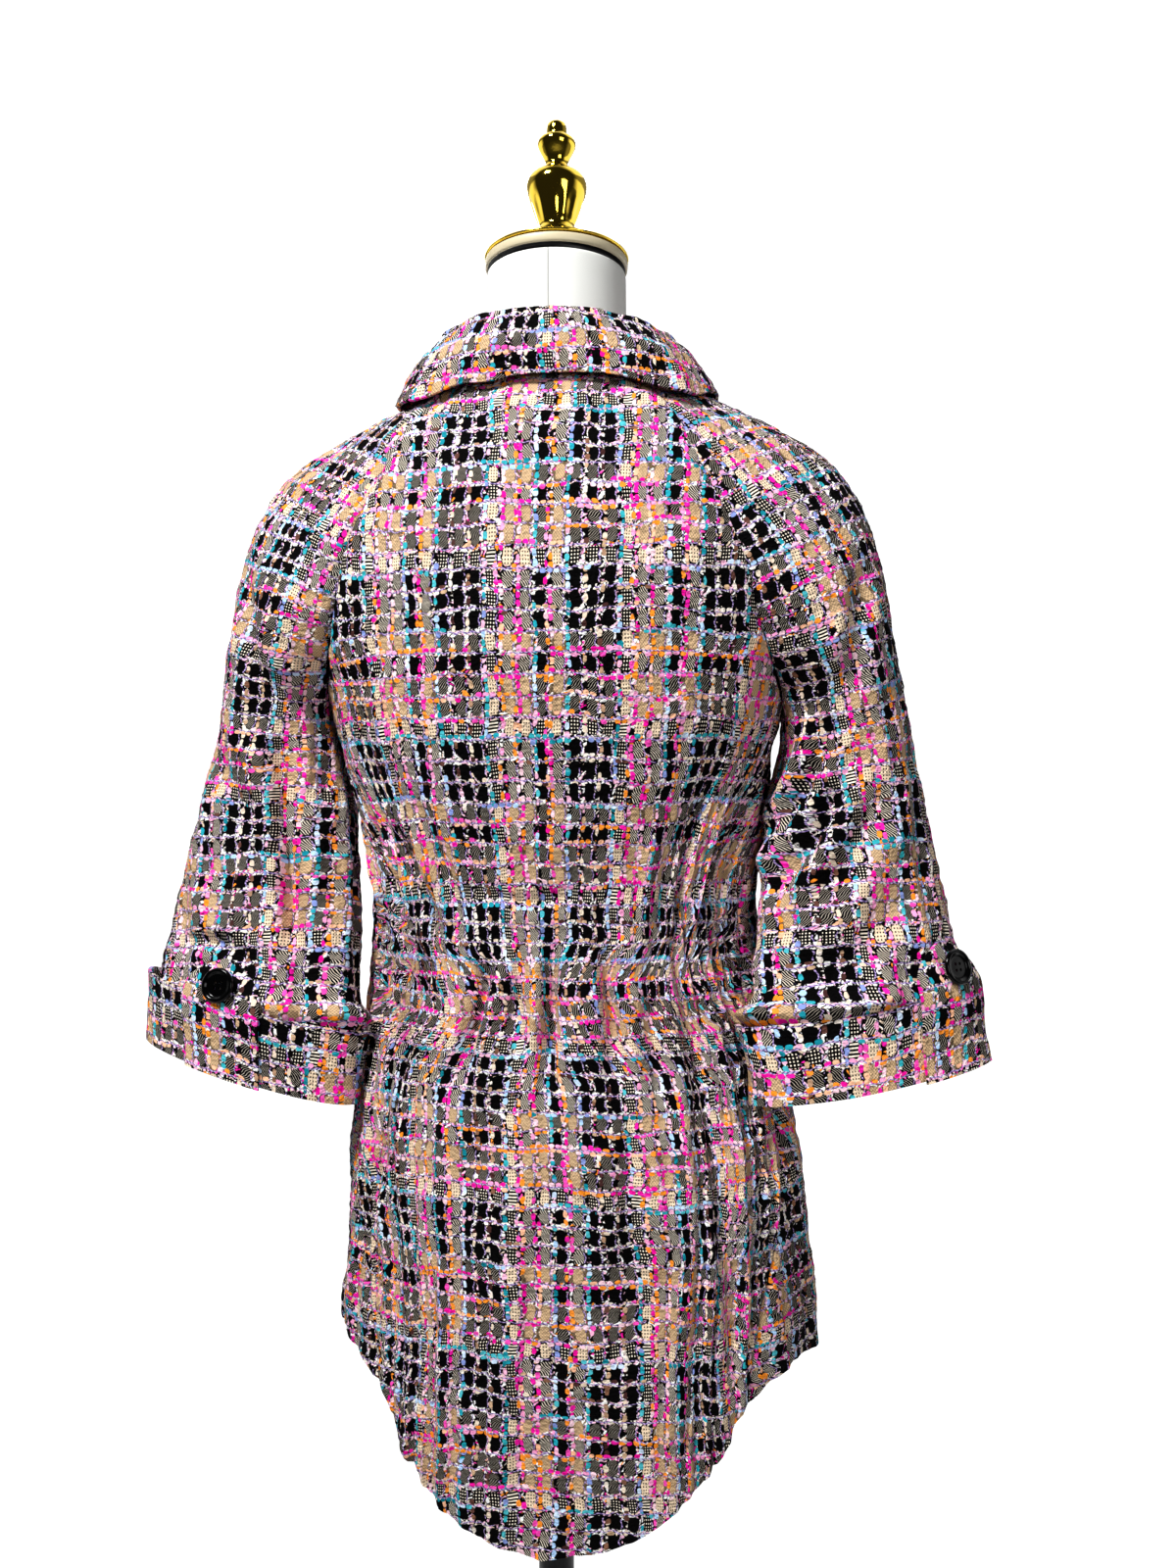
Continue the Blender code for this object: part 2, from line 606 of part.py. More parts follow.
@functools.lru_cache(maxsize=None)
def fall_lines(side):
    """A fine net of the left-hand sleeve's lower part: its points, and their distances from the hem down each line.

    The lines run at even shares of each half of the sleeve: 1 is the inner seam by the back, -1 by the front.
    """
    rows, shares = np.linspace(UNDERARM_ROW, HEM_ROW, 41), np.linspace(-1, 1, 121)
    net = []
    for row in rows:
        back_girth, front_girth = half_girths(side, round(float(row), 6))
        net.append(sleeve_points(side, row, np.where(shares > 0, shares * back_girth, shares * front_girth)))
    net = np.array(net)[::-1]
    steps = np.linalg.norm(np.diff(net, axis=0), axis=2)
    return shares, net, np.concatenate([np.zeros((1, len(shares))), np.cumsum(steps, axis=0)])


def hem_shares(side, places):
    """Shares of the half girth at distances behind the outer line, at the hem."""
    back_girth, front_girth = half_girths(side, float(HEM_ROW))
    return np.where(places > 0, places / back_girth, places / front_girth)


def sleeve_spot(side, distance, share):
    """Point of the left-hand sleeve on one line, at a distance up from the hem. It goes on below the hem."""
    shares, net, above = fall_lines(side)
    column = np.clip((share + 1) / 2 * (len(shares) - 1), 0, len(shares) - 1.001)
    low, f = int(column), column - int(column)
    found = []
    for c in (low, low + 1):
        spot = np.array([np.interp(distance, above[:, c], net[:, c, axis]) for axis in range(3)])
        found.append(spot + min(distance, 0.0) * unit(net[1, c] - net[0, c]))
    return found[0] * (1 - f) + found[1] * f


def sleeve_frame(side, distance, shares):
    """Points and outward normals of the left-hand sleeve at a distance above its hem."""
    spots, normals = [], []
    for share in np.atleast_1d(shares):
        spot = sleeve_spot(side, distance, share)
        beside = sleeve_spot(side, distance, share + 0.02) - sleeve_spot(side, distance, share - 0.02)
        up = sleeve_spot(side, distance + 0.004, share) - spot
        spots.append(spot)
        normals.append(unit(np.cross(beside, up)))
    return np.array(spots), np.array(normals)


def make_cuff(side, cloth):
    """The turned-up end of the sleeve: a band round it that stands a little off at its upper edge."""
    mirror = np.array([SIDES[side], 1.0, 1.0])
    front, back = (panel_places(side, HEM_ROW, part) for part in (False, True))
    shares = hem_shares(side, np.concatenate([front[:-1], back[::-1][:-1]]))
    outer, inner = [], []
    for distance, stand_off in ((-0.0015, 0.0007), (0.012, 0.0009), (0.030, 0.0018), (CUFF_DEPTH, 0.0040)):
        ring, normal = sleeve_frame(side, distance, shares)
        inner.append((ring + normal * stand_off) * mirror)
        outer.append((ring + normal * (stand_off + CLOTH)) * mirror)
    add_mesh(f"cuff_{side}", *wall_mesh(np.array(outer), np.array(inner), closed=True), cloth)


def tab_half_width(side, distance):
    """Half the tab's width: straight, then a rounded end."""
    end = TAB_LENGTH[side] - 0.5 * TAB_WIDTH
    rounding = np.clip((distance - end) / (0.5 * TAB_WIDTH), 0, 1)
    return 0.5 * TAB_WIDTH * (1 - 0.90 * rounding**2.4)


def tab_lift(side, distance):
    """Height of the tab's inner face over the sleeve: over the cuff, then down onto the sleeve."""
    over_cuff = 0.0030 + 0.0034 * smoothstep(0.010, CUFF_DEPTH, distance)
    return 0.0009 + over_cuff * (1 - smoothstep(CUFF_DEPTH, TAB_LENGTH[side], distance))


def tab_row(side, distance, across):
    spot, normal = sleeve_frame(side, distance, hem_shares(side, TAB_PLACE[side] + across))
    return spot + normal * tab_lift(side, distance), normal


def make_tab(side, cloth):
    mirror = np.array([SIDES[side], 1.0, 1.0])
    straight = TAB_LENGTH[side] - 0.5 * TAB_WIDTH
    round_end = straight + 0.5 * TAB_WIDTH * np.array([0, 0.35, 0.6, 0.8, 0.92, 1.0])
    distances = np.concatenate([np.linspace(-0.0035, straight, 5)[:-1], round_end])
    outer, inner = [], []
    for distance in distances:
        half = tab_half_width(side, distance)
        face, normal = tab_row(side, distance, np.linspace(-half, half, 7))
        inner.append(face * mirror)
        outer.append((face + normal * CLOTH) * mirror)
    add_mesh(f"tab_{side}", *wall_mesh(np.array(outer), np.array(inner)), cloth)


# ---------------------------------------------------------------- turned pieces
def turned(name, profile, base, material, segments=24, axis=(0, 0, 1)):
    """A solid turned from (height, radius) pairs, closed flat at each end."""
    axis = unit(np.array(axis, float))
    side = unit(np.cross(axis, np.array([0.0, 1.0, 0.3]) if abs(axis[1]) < 0.9 else np.array([1.0, 0.0, 0.3])))
    other = np.cross(axis, side)
    points, faces = [], []
    turn = np.linspace(0, 2 * math.pi, segments, endpoint=False)
    for height, radius in profile:
        ring = base + axis * height + radius * (np.cos(turn)[:, None] * side + np.sin(turn)[:, None] * other)
        points.extend(ring)
    for r in range(len(profile) - 1):
        for c in range(segments):
            d = (c + 1) % segments
            faces.append((r * segments + c, r * segments + d, (r + 1) * segments + d, (r + 1) * segments + c))
    faces.append(tuple(range(segments))[::-1])
    top = (len(profile) - 1) * segments
    faces.append(tuple(range(top, top + segments)))
    return add_mesh(name, points, faces, material)


def button_profile():
    r, t = BUTTON_RADIUS, BUTTON_THICKNESS
    return ((0.0, 0.84 * r), (0.4 * t, r), (0.85 * t, 0.97 * r), (t, 0.87 * r), (0.88 * t, 0.75 * r), (0.5 * t, 0.66 * r))


def seat_button(name, centre, normal, nearby, gloss):
    """Sets a button on the highest of the surface points that lie under it."""
    offset = nearby - centre
    height = offset @ normal
    aside = np.linalg.norm(offset - height[:, None] * normal, axis=1)
    rise = height[aside < BUTTON_RADIUS].max() + SEAT_GAP
    turned(name, button_profile(), centre + normal * rise, gloss, 18, normal)


def make_tab_button(side, gloss):
    mirror = np.array([SIDES[side], 1.0, 1.0])
    middle = TAB_LENGTH[side] - TAB_BUTTON
    centre, normal = tab_row(side, middle, np.array([0.0]))
    nearby = []
    for distance in np.linspace(middle - 0.014, TAB_LENGTH[side], 9):
        face, out = tab_row(side, distance, np.linspace(-0.014, 0.014, 9))
        nearby.append(face + out * CLOTH)
    seat_button(f"button_cuff_{side}", centre[0] * mirror, normal[0] * mirror, np.concatenate(nearby) * mirror, gloss)


def make_front_buttons(gloss):
    ahead = np.array(-math.pi / 2)
    for number, height in enumerate(FRONT_BUTTONS, 1):
        line = body_point(ahead, np.linspace(height - 0.014, height + 0.014, 9))
        line[:, 0] = 0.0
        across = np.linspace(-0.014, 0.014, 9)[:, None, None] * np.array([1.0, 0.0, 0.0])
        slope = unit(line[-1] - line[0])
        normal = np.cross(slope, np.array([1.0, 0.0, 0.0]))
        normal = normal * -np.sign(normal[1])
        seat_button(f"button_front_{number}", line[4], normal, (line + across).reshape(-1, 3), gloss)


# ---------------------------------------------------------------- the form and its stand
FORM_HEIGHTS = (
    0.716, 0.732, 0.760, 0.820, 0.900, 0.975, 1.060, 1.125, 1.190, 1.250, 1.300, 1.322, 1.340, 1.354, 1.366, 1.378,
    1.392, 1.470,
)


def make_form(calico):
    """The torso: closed level sections from the neck down to its flat underside."""
    segments = 36
    turn = np.linspace(0, 2 * math.pi, segments, endpoint=False)
    points, faces = [], []
    for height in FORM_HEIGHTS:
        half_width, power = FORM.at("half_width", height), FORM.at("roundness", height)
        depth = np.where(np.sin(turn) > 0, FORM.at("back", height), FORM.at("front", height))
        radius = (np.abs(np.cos(turn) / half_width) ** power + np.abs(np.sin(turn) / depth) ** power) ** (-1 / power)
        radius = radius - (0.006 if height == FORM_BOTTOM else 0.0)
        points.extend(np.stack([radius * np.cos(turn), radius * np.sin(turn), height + 0 * turn], axis=1))
    for r in range(len(FORM_HEIGHTS) - 1):
        for c in range(segments):
            d = (c + 1) % segments
            faces.append((r * segments + c, r * segments + d, (r + 1) * segments + d, (r + 1) * segments + c))
    faces.append(tuple(range(segments))[::-1])
    top = (len(FORM_HEIGHTS) - 1) * segments
    faces.append(tuple(range(top, top + segments)))
    add_mesh("form_torso", points, faces, calico)


def make_stand(calico, cream, gold, dark):
    """The torso on its pole, with the capped neck and the turned finial: each stacked on the one below."""
    make_form(calico)
    up = np.array([0.0, 0.0, 1.0])
    foot = NECK_TOP + SEAT_GAP
    turned("neck_cap", ((0, 0.0525), (0.0010, 0.0535), (0.0075, 0.0545)), up * foot, cream, 36)
    foot += 0.0075 + SEAT_GAP
    turned("neck_rim", RIM, up * foot, gold, 36)
    foot += RIM[-1][0] + SEAT_GAP
    turned("finial", FINIAL, up * foot, gold, 18)
    base = ((0, BASE_RADIUS - 0.003), (0.004, BASE_RADIUS), (0.014, BASE_RADIUS), (BASE_HEIGHT, BASE_RADIUS - 0.020),
            (BASE_HEIGHT + 0.004, 0.030), (BASE_HEIGHT + 0.030, 0.021))
    turned("stand_base", base, up * 0.0, dark, 48)
    pole_foot = base[-1][0] + SEAT_GAP
    socket_foot = FORM_BOTTOM - 0.014 - SEAT_GAP
    pole = ((0, POLE_RADIUS), (socket_foot - SEAT_GAP - pole_foot, POLE_RADIUS))
    turned("pole", pole, up * pole_foot, dark, 24)
    turned("pole_socket", ((0, 0.034), (0.004, 0.036), (0.014, 0.036)), up * socket_foot, dark, 24)


def main():
    clear_scene()
    cloth = finish("boucle", (0.22, 0.16, 0.18), 0.9)
    gloss = finish("black_button", (0.012, 0.012, 0.013), 0.18)
    calico = finish("calico", (0.80, 0.80, 0.76), 0.7)
    cream = finish("cream_band", (0.62, 0.55, 0.42), 0.45)
    gold = finish("polished_gold", (0.83, 0.60, 0.14), 0.12, 1.0)
    dark = finish("black_iron", (0.03, 0.03, 0.032), 0.4, 0.6)
    make_panels(cloth)
    make_collar(cloth)
    for side in SIDES:
        make_cuff(side, cloth)
        make_tab(side, cloth)
        make_tab_button(side, gloss)
    make_front_buttons(gloss)
    make_stand(calico, cream, gold, dark)


main()
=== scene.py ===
# %% [markdown]
# # A boucle jacket on a dress form
# The jacket is a long shirt jacket of fancy tweed. Its raglan sleeves end in turned cuffs with a button
# tab, its collar is small and soft, and its hem is cut in a curved tail. A limbless form on a pole stand
# wears it.
#
# The measured solids come in as the frame: they say where each piece is and how big it is. Each cell below
# makes the looks of one group of pieces, in the order in which they are worn.

# %% Setup
import functools
import math

import bmesh
import bpy
import numpy as np
from mathutils.kdtree import KDTree
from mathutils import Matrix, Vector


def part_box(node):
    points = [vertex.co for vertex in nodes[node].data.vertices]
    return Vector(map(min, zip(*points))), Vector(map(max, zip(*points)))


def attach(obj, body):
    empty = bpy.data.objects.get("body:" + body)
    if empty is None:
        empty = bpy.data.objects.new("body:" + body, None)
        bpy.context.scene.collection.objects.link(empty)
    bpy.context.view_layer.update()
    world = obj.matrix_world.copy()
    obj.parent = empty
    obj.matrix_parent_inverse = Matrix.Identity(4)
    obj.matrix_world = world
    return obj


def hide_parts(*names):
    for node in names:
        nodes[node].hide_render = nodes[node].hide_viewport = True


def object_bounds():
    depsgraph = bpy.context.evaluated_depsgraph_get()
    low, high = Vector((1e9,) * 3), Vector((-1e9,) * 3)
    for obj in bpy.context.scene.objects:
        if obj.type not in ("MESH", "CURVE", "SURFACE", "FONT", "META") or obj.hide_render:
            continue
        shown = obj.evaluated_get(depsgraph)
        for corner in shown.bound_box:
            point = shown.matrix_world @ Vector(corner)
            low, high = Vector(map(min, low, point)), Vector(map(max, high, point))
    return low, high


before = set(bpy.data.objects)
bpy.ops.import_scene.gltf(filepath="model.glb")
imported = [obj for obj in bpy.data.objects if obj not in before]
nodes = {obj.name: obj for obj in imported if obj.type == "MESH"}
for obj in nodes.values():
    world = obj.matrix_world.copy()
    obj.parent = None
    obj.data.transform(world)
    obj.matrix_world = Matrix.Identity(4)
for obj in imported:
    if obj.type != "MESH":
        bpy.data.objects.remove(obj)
low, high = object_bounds()
print("nodes:", len(nodes), "box:", [round(v, 3) for v in low], [round(v, 3) for v in high])

# %% [markdown]
# ## The sizes
# The jacket is cut from one smooth skin. Its body is a stack of level sections, and each sleeve is a stack
# of rows that start on the body's own seam lines. The same short tables drove the solids, so the cloth
# lands where they are. Everything is in metres, with the wearer's left at +X and the front at -Y.

# %% Driving sizes
CLOTH = 0.0024            # thickness of the cloth
SEAM_GAP = 0.0003         # between two pieces that are sewn together
UNDERARM = 1.125          # height of the point where the four panels meet
NECK_RISE = 0.004         # how far the back's neckline rises at its centre
NECK_DROP = 0.040         # and how far the front's drops
TAIL_SHIFT = 0.07         # the tail's lowest point, as a share of half the back
BUTTON_STAND = 0.016      # each front goes on past the centre by this much
CUFF_DEPTH = 0.050
CUFF_DROP = 0.0015        # the cuff's lower edge below the sleeve's hem
TAB_WIDTH = 0.058


class Table:
    """A short table with named columns. The first is the place, and the rest are read off a smooth curve."""

    def __init__(self, columns, *rows):
        values = np.array(rows, float)
        order = np.argsort(values[:, 0])
        self.columns = dict(zip(columns.split(), values[order].T))
        self.place = values[order, 0]

    def at(self, name, place):
        values = self.columns[name]
        slopes = np.gradient(values, self.place)
        place = np.clip(np.asarray(place, float), self.place[0], self.place[-1])
        row = np.clip(np.searchsorted(self.place, place) - 1, 0, len(self.place) - 2)
        step = self.place[row + 1] - self.place[row]
        f = (place - self.place[row]) / step
        return (
            values[row] * (1 + 2 * f) * (1 - f) ** 2
            + slopes[row] * step * f * (1 - f) ** 2
            + values[row + 1] * f**2 * (3 - 2 * f)
            + slopes[row + 1] * step * f**2 * (f - 1)
        )


# Level sections of the jacket's body. Above the underarm they are those of a whole torso with shoulders,
# of which the panels use only the part inside the raglan seams.
BODY = Table(
    "height half_width back front roundness sway",
    (1.385, 0.078, 0.064, 0.066, 2.0, 0.0),
    (1.376, 0.088, 0.067, 0.070, 2.0, 0.0),
    (1.362, 0.120, 0.076, 0.080, 2.0, 0.0),
    (1.340, 0.158, 0.088, 0.089, 2.1, 0.0),
    (1.300, 0.190, 0.101, 0.099, 2.3, 0.0),
    (1.250, 0.196, 0.110, 0.110, 2.5, 0.0),
    (1.190, 0.184, 0.113, 0.123, 2.4, 0.0),
    (1.125, 0.168, 0.108, 0.130, 2.3, 0.0),
    (1.060, 0.150, 0.098, 0.121, 2.2, 0.0),
    (0.975, 0.142, 0.088, 0.101, 2.1, -0.002),
    (0.900, 0.153, 0.100, 0.104, 2.1, -0.007),
    (0.820, 0.169, 0.115, 0.112, 2.2, -0.013),
    (0.740, 0.175, 0.121, 0.116, 2.2, -0.016),
    (0.650, 0.179, 0.124, 0.119, 2.2, -0.016),
    (0.560, 0.181, 0.122, 0.120, 2.2, -0.016),
)

# Raglan seams on that torso, in degrees from the side, back and front.
# They go by sleeve row: 0 is at the neck and 7 at the underarm.
RAGLAN = Table(
    "row height back_angle front_angle",
    (0, 1.376, 34.0, 31.0),
    (1, 1.345, 38.0, 33.0),
    (2, 1.300, 37.5, 36.0),
    (3, 1.262, 34.5, 36.5),
    (4, 1.228, 31.0, 34.0),
    (5, 1.195, 26.5, 29.5),
    (6, 1.158, 17.5, 21.0),
    (7, 1.125, 0.0, 0.0),
)

# The side seam, in degrees towards the back from the side.
SIDE_SEAM = Table(
    "height angle",
    (1.125, 0.0),
    (1.060, 7.0),
    (0.975, 13.0),
    (0.850, 17.0),
    (0.790, 21.0),
    (0.720, 31.0),
    (0.660, 36.0),
    (0.560, 37.0),
)

# The shirt-tail hem: heights across half the back and half the front, 0 at the centre and 1 at the side seam.
HEM = Table(
    "place back front",
    (0.00, 0.567, 0.625),
    (0.25, 0.573, 0.632),
    (0.50, 0.585, 0.652),
    (0.65, 0.600, 0.666),
    (0.80, 0.621, 0.677),
    (0.90, 0.640, 0.678),
    (1.00, 0.664, 0.664),
)

# Sleeve rows, neck to hem: where the row passes over the arm, where it meets the inner seam (from row 7 on),
# and how strongly it sets off from each: back and front handles at the seam, and depth handles at the arm.
SLEEVE = Table(
    "row out_x out_y out_z in_x in_y in_z back_x back_y back_z front_x front_y front_z over_back over_front",
    (0, 0.083, 0.000, 1.379, 0.168, 0.000, 1.125, 0.004, -0.010, 0.002, 0.004, 0.010, 0.002, 0.012, 0.012),
    (1, 0.123, 0.000, 1.364, 0.168, 0.000, 1.125, 0.010, -0.018, 0.012, 0.010, 0.018, 0.012, 0.022, 0.022),
    (2, 0.164, 0.000, 1.344, 0.168, 0.000, 1.125, 0.022, -0.014, 0.018, 0.024, 0.016, 0.018, 0.034, 0.036),
    (3, 0.203, 0.000, 1.319, 0.168, 0.000, 1.125, 0.034, -0.006, 0.020, 0.038, 0.008, 0.020, 0.044, 0.048),
    (4, 0.227, 0.000, 1.285, 0.168, 0.000, 1.125, 0.040, 0.006, 0.015, 0.044, -0.004, 0.015, 0.054, 0.058),
    (5, 0.241, 0.000, 1.243, 0.168, 0.000, 1.125, 0.038, 0.024, 0.010, 0.042, -0.020, 0.010, 0.062, 0.064),
    (6, 0.251, 0.000, 1.190, 0.168, 0.000, 1.125, 0.026, 0.046, 0.006, 0.028, -0.046, 0.006, 0.070, 0.070),
    (7, 0.261, 0.000, 1.134, 0.168, 0.000, 1.125, 0.004, 0.080, 0.004, 0.004, -0.080, 0.004, 0.078, 0.074),
    (8, 0.274, 0.002, 1.070, 0.160, 0.006, 1.060, 0.000, 0.074, 0.000, 0.002, -0.070, 0.000, 0.074, 0.068),
    (9, 0.286, 0.008, 1.010, 0.154, 0.022, 0.996, 0.000, 0.068, 0.000, 0.006, -0.056, 0.000, 0.068, 0.058),
    (10, 0.295, 0.018, 0.956, 0.150, 0.044, 0.938, 0.000, 0.060, 0.000, 0.014, -0.040, 0.000, 0.060, 0.044),
    (11, 0.301, 0.028, 0.914, 0.149, 0.062, 0.890, 0.000, 0.054, 0.000, 0.024, -0.026, 0.000, 0.054, 0.032),
    (12, 0.304, 0.036, 0.886, 0.149, 0.070, 0.856, 0.000, 0.050, 0.000, 0.030, -0.018, 0.000, 0.050, 0.026),
)

# How each sleeve hangs below the underarm: turned about its own length in degrees, its outer side backwards,
# and its outer and inner sides moved away from the body and up.
HANG = {
    "left": Table(
        "row turn outer_x outer_z inner_x inner_z",
        (7.0, 0.0, 0.000, 0.000, 0.000, 0.000),
        (8.5, 2.0, 0.004, 0.000, -0.005, 0.000),
        (10.0, 5.0, 0.002, 0.003, -0.008, -0.003),
        (12.0, 9.0, -0.005, 0.006, -0.008, -0.006),
    ),
    "right": Table(
        "row turn outer_x outer_z inner_x inner_z",
        (7.0, 0.0, 0.000, 0.000, 0.000, 0.000),
        (8.5, 0.0, -0.003, 0.000, 0.008, 0.000),
        (10.0, 0.0, -0.002, 0.003, 0.007, 0.003),
        (12.0, 0.0, 0.004, 0.006, 0.005, 0.006),
    ),
}
UNDERARM_ROW = 7
HEM_ROW = 12
OVERARM_SEAM = 0.13       # the overarm seam behind the outer line, as a share of the sleeve's back half

# The collar, from the centre of the back (0) round to its front end: the fold above the neck seam,
# and the lower edge of the fall.
COLLAR = Table(
    "angle stand fold_out edge_x edge_y edge_z",
    (0, 0.035, 0.003, 0.000, 0.084, 1.370),
    (35, 0.034, 0.004, 0.060, 0.081, 1.367),
    (62, 0.032, 0.005, 0.104, 0.064, 1.358),
    (92, 0.030, 0.005, 0.122, 0.002, 1.370),
    (122, 0.027, 0.004, 0.109, -0.066, 1.350),
    (150, 0.023, 0.005, 0.090, -0.104, 1.297),
    (168, 0.019, 0.005, 0.074, -0.115, 1.268),
    (177, 0.016, 0.005, 0.064, -0.118, 1.258),
)
COLLAR_FOLD = 0.0034      # radius of the roll at the top
COLLAR_LIFT = 0.0008      # the collar's foot above the neck edge
COLLAR_END = 177          # where the collar ends, in degrees from the centre of the back

SIDES = {"left": 1.0, "right": -1.0}
TAB_PLACE = {"left": 0.092, "right": 0.042}     # the tab's middle, behind the outer line of the sleeve
TAB_LENGTH = {"left": 0.080, "right": 0.086}    # from the sleeve hem to the rounded end

# %% [markdown]
# ## The skin of the body and the sleeves
# A level section of the body is a rounded oval, and a panel is a share of that oval between its two seams.
# A sleeve row is a pair of curves from the outer line of the arm to the seam, so the panels meet on exactly
# the same points.

# %% Shared helpers
def unit(vectors):
    return vectors / np.maximum(np.linalg.norm(vectors, axis=-1, keepdims=True), 1e-9)


def smoothstep(low, high, value):
    f = np.clip((np.asarray(value, float) - low) / (high - low), 0, 1)
    return f * f * (3 - 2 * f)


def lengths_along(points):
    """Distance from the first point to each point of a line."""
    steps = np.linalg.norm(np.diff(points, axis=0), axis=1)
    return np.concatenate([[0.0], np.cumsum(steps)])


# %% The body's skin
SEAM_ROWS = np.linspace(0, UNDERARM_ROW, 97)[:-1]
ROWS_BELOW = 190
SLEEVE_ROWS = np.concatenate([SEAM_ROWS, np.linspace(UNDERARM_ROW, HEM_ROW, 104)])


def body_point(angle, height, out=0.0):
    """A point of the torso's section at this height, `angle` radians from the left side towards the back."""
    half_width = BODY.at("half_width", height) + out
    depth = np.where(np.sin(angle) > 0, BODY.at("back", height), BODY.at("front", height)) + out
    power = BODY.at("roundness", height)
    cosine, sine = np.cos(angle), np.sin(angle)
    radius = (np.abs(cosine / half_width) ** power + np.abs(sine / depth) ** power) ** (-1 / power)
    return np.stack([radius * cosine + BODY.at("sway", height), radius * sine, height + 0 * angle], axis=-1)


def seam_angle(height, back):
    """Angle of the seam that bounds the panel: the raglan seam above the underarm, the side seam below it."""
    rows = np.linspace(0, UNDERARM_ROW, 281)
    row = np.interp(-np.asarray(height, float), -RAGLAN.at("height", rows), rows)
    raglan = np.radians(RAGLAN.at("back_angle" if back else "front_angle", row)) * (1 if back else -1)
    side = np.radians(SIDE_SEAM.at("angle", height))
    return np.where(np.asarray(height) > UNDERARM, raglan, side)


def panel_angle(place, height, back):
    """Angle at a place across half a panel, 0 at its centre and 1 at its seam, and the half's length."""
    centre = math.pi / 2 if back else -math.pi / 2
    seam = seam_angle(height, back)
    share = np.linspace(0, 1, 49)
    angles = centre + (seam[..., None] - centre) * share
    points = body_point(angles, height[..., None] + 0 * angles)
    steps = np.linalg.norm(np.diff(points, axis=-2), axis=-1)
    run = np.concatenate([np.zeros(steps.shape[:-1] + (1,)), np.cumsum(steps, axis=-1)], axis=-1)
    wanted = (np.abs(place) * run[..., -1]).reshape(-1)
    found = np.array([np.interp(w, r, share) for w, r in zip(wanted, run.reshape(-1, 49))])
    return centre + (seam - centre) * found.reshape(place.shape), run[..., -1]


def hem_height(place, back):
    """Height of the hem at a place. The tail hangs a little to the wearer's left."""
    if back:
        place = place - TAIL_SHIFT * (1 - np.abs(place))
    return HEM.at("back" if back else "front", np.abs(place))


def panel_heights(places, back):
    """Heights of a body panel's rows, hem to neck. Above the underarm they meet the sleeve's rows."""
    share = np.linspace(0, 1, ROWS_BELOW + 1)[:, None]
    hem = hem_height(places, back)[None, :]
    rows = SEAM_ROWS[::-1][:, None]
    inside = 1 - np.minimum(np.abs(places), 1)[None, :] ** 1.7
    if back:
        lift = NECK_RISE * inside * (1 - rows / UNDERARM_ROW)
    else:
        lift = -NECK_DROP * inside * np.clip(1 - rows / 5, 0, 1)
    return np.concatenate([hem + (UNDERARM - hem) * share, RAGLAN.at("height", rows) + lift])


def body_grid(places, back):
    """Points of a body panel, and their level distances from the centre, positive on the left."""
    heights = panel_heights(places, back)
    angle, run = panel_angle(np.broadcast_to(places, heights.shape), heights, back)
    points = body_point(angle, heights)
    mirrored = places < 0
    sway = BODY.at("sway", heights)
    points[:, mirrored, 0] = 2 * sway[:, mirrored] - points[:, mirrored, 0]
    return points, places * run


# %% The sleeves' skin
def bezier(start, start_handle, end_handle, end, count):
    f = np.linspace(0, 1, count)[:, None]
    return (
        (1 - f) ** 3 * start
        + 3 * f * (1 - f) ** 2 * (start + start_handle)
        + 3 * f**2 * (1 - f) * (end + end_handle)
        + f**3 * end
    )


@functools.lru_cache(maxsize=None)
def sleeve_half(side, row, back, count=49):
    """Half a sleeve row, drawn as if on the left: from the outer line of the arm to the seam."""
    def read(*names):
        return np.array([float(SLEEVE.at(name, row)) for name in names])

    outer = read("out_x", "out_y", "out_z")
    if row < UNDERARM_ROW:
        height = float(RAGLAN.at("height", row))
        seam = body_point(np.array(seam_angle(height, back)), np.array(height))
    else:
        seam = read("in_x", "in_y", "in_z")
    names = ("back_x", "back_y", "back_z") if back else ("front_x", "front_y", "front_z")
    reach = read("over_back")[0] if back else -read("over_front")[0]
    line = bezier(outer, np.array([0.0, reach, 0.0]), read(*names), seam, count)
    if row > UNDERARM_ROW:
        line = hang(side, row, line, outer, seam)
    return line


def hang(side, row, line, outer, inner):
    """Turns and shifts a row of the loose part of the sleeve as it hangs on this side."""
    table = HANG[side]
    turn = math.radians(table.at("turn", row))
    centre = (outer + inner) / 2
    offset = line - centre
    turned_x = math.cos(turn) * offset[:, 0] - math.sin(turn) * offset[:, 1]
    turned_y = math.cos(turn) * offset[:, 1] + math.sin(turn) * offset[:, 0]
    share = np.clip((line[:, 0] - inner[0]) / (outer[0] - inner[0]), 0, 1)
    shift_x = share * table.at("outer_x", row) + (1 - share) * table.at("inner_x", row)
    shift_z = share * table.at("outer_z", row) + (1 - share) * table.at("inner_z", row)
    return centre + np.stack([turned_x + shift_x, turned_y, offset[:, 2] + shift_z], axis=1)


def sleeve_points(side, row, distances):
    """Points of a sleeve row at signed distances from the outer line, positive towards the back."""
    row = round(float(row), 6)
    distances = np.asarray(distances, float)
    found = np.empty((len(distances), 3))
    for back in (True, False):
        half = sleeve_half(side, row, back)
        run = lengths_along(half)
        chosen = distances >= 0 if back else distances < 0
        for axis in range(3):
            found[chosen, axis] = np.interp(np.abs(distances[chosen]), run, half[:, axis])
    return found


@functools.lru_cache(maxsize=None)
def half_girths(side, row):
    return tuple(lengths_along(sleeve_half(side, row, back))[-1] for back in (True, False))


def panel_places(side, row, back, count=57):
    """Places of one sleeve panel's columns, from its lower seam to the overarm seam."""
    back_girth, front_girth = half_girths(side, round(float(row), 6))
    overarm = OVERARM_SEAM * smoothstep(0, 3, row) * back_girth
    return np.linspace(back_girth if back else -front_girth, overarm, count)


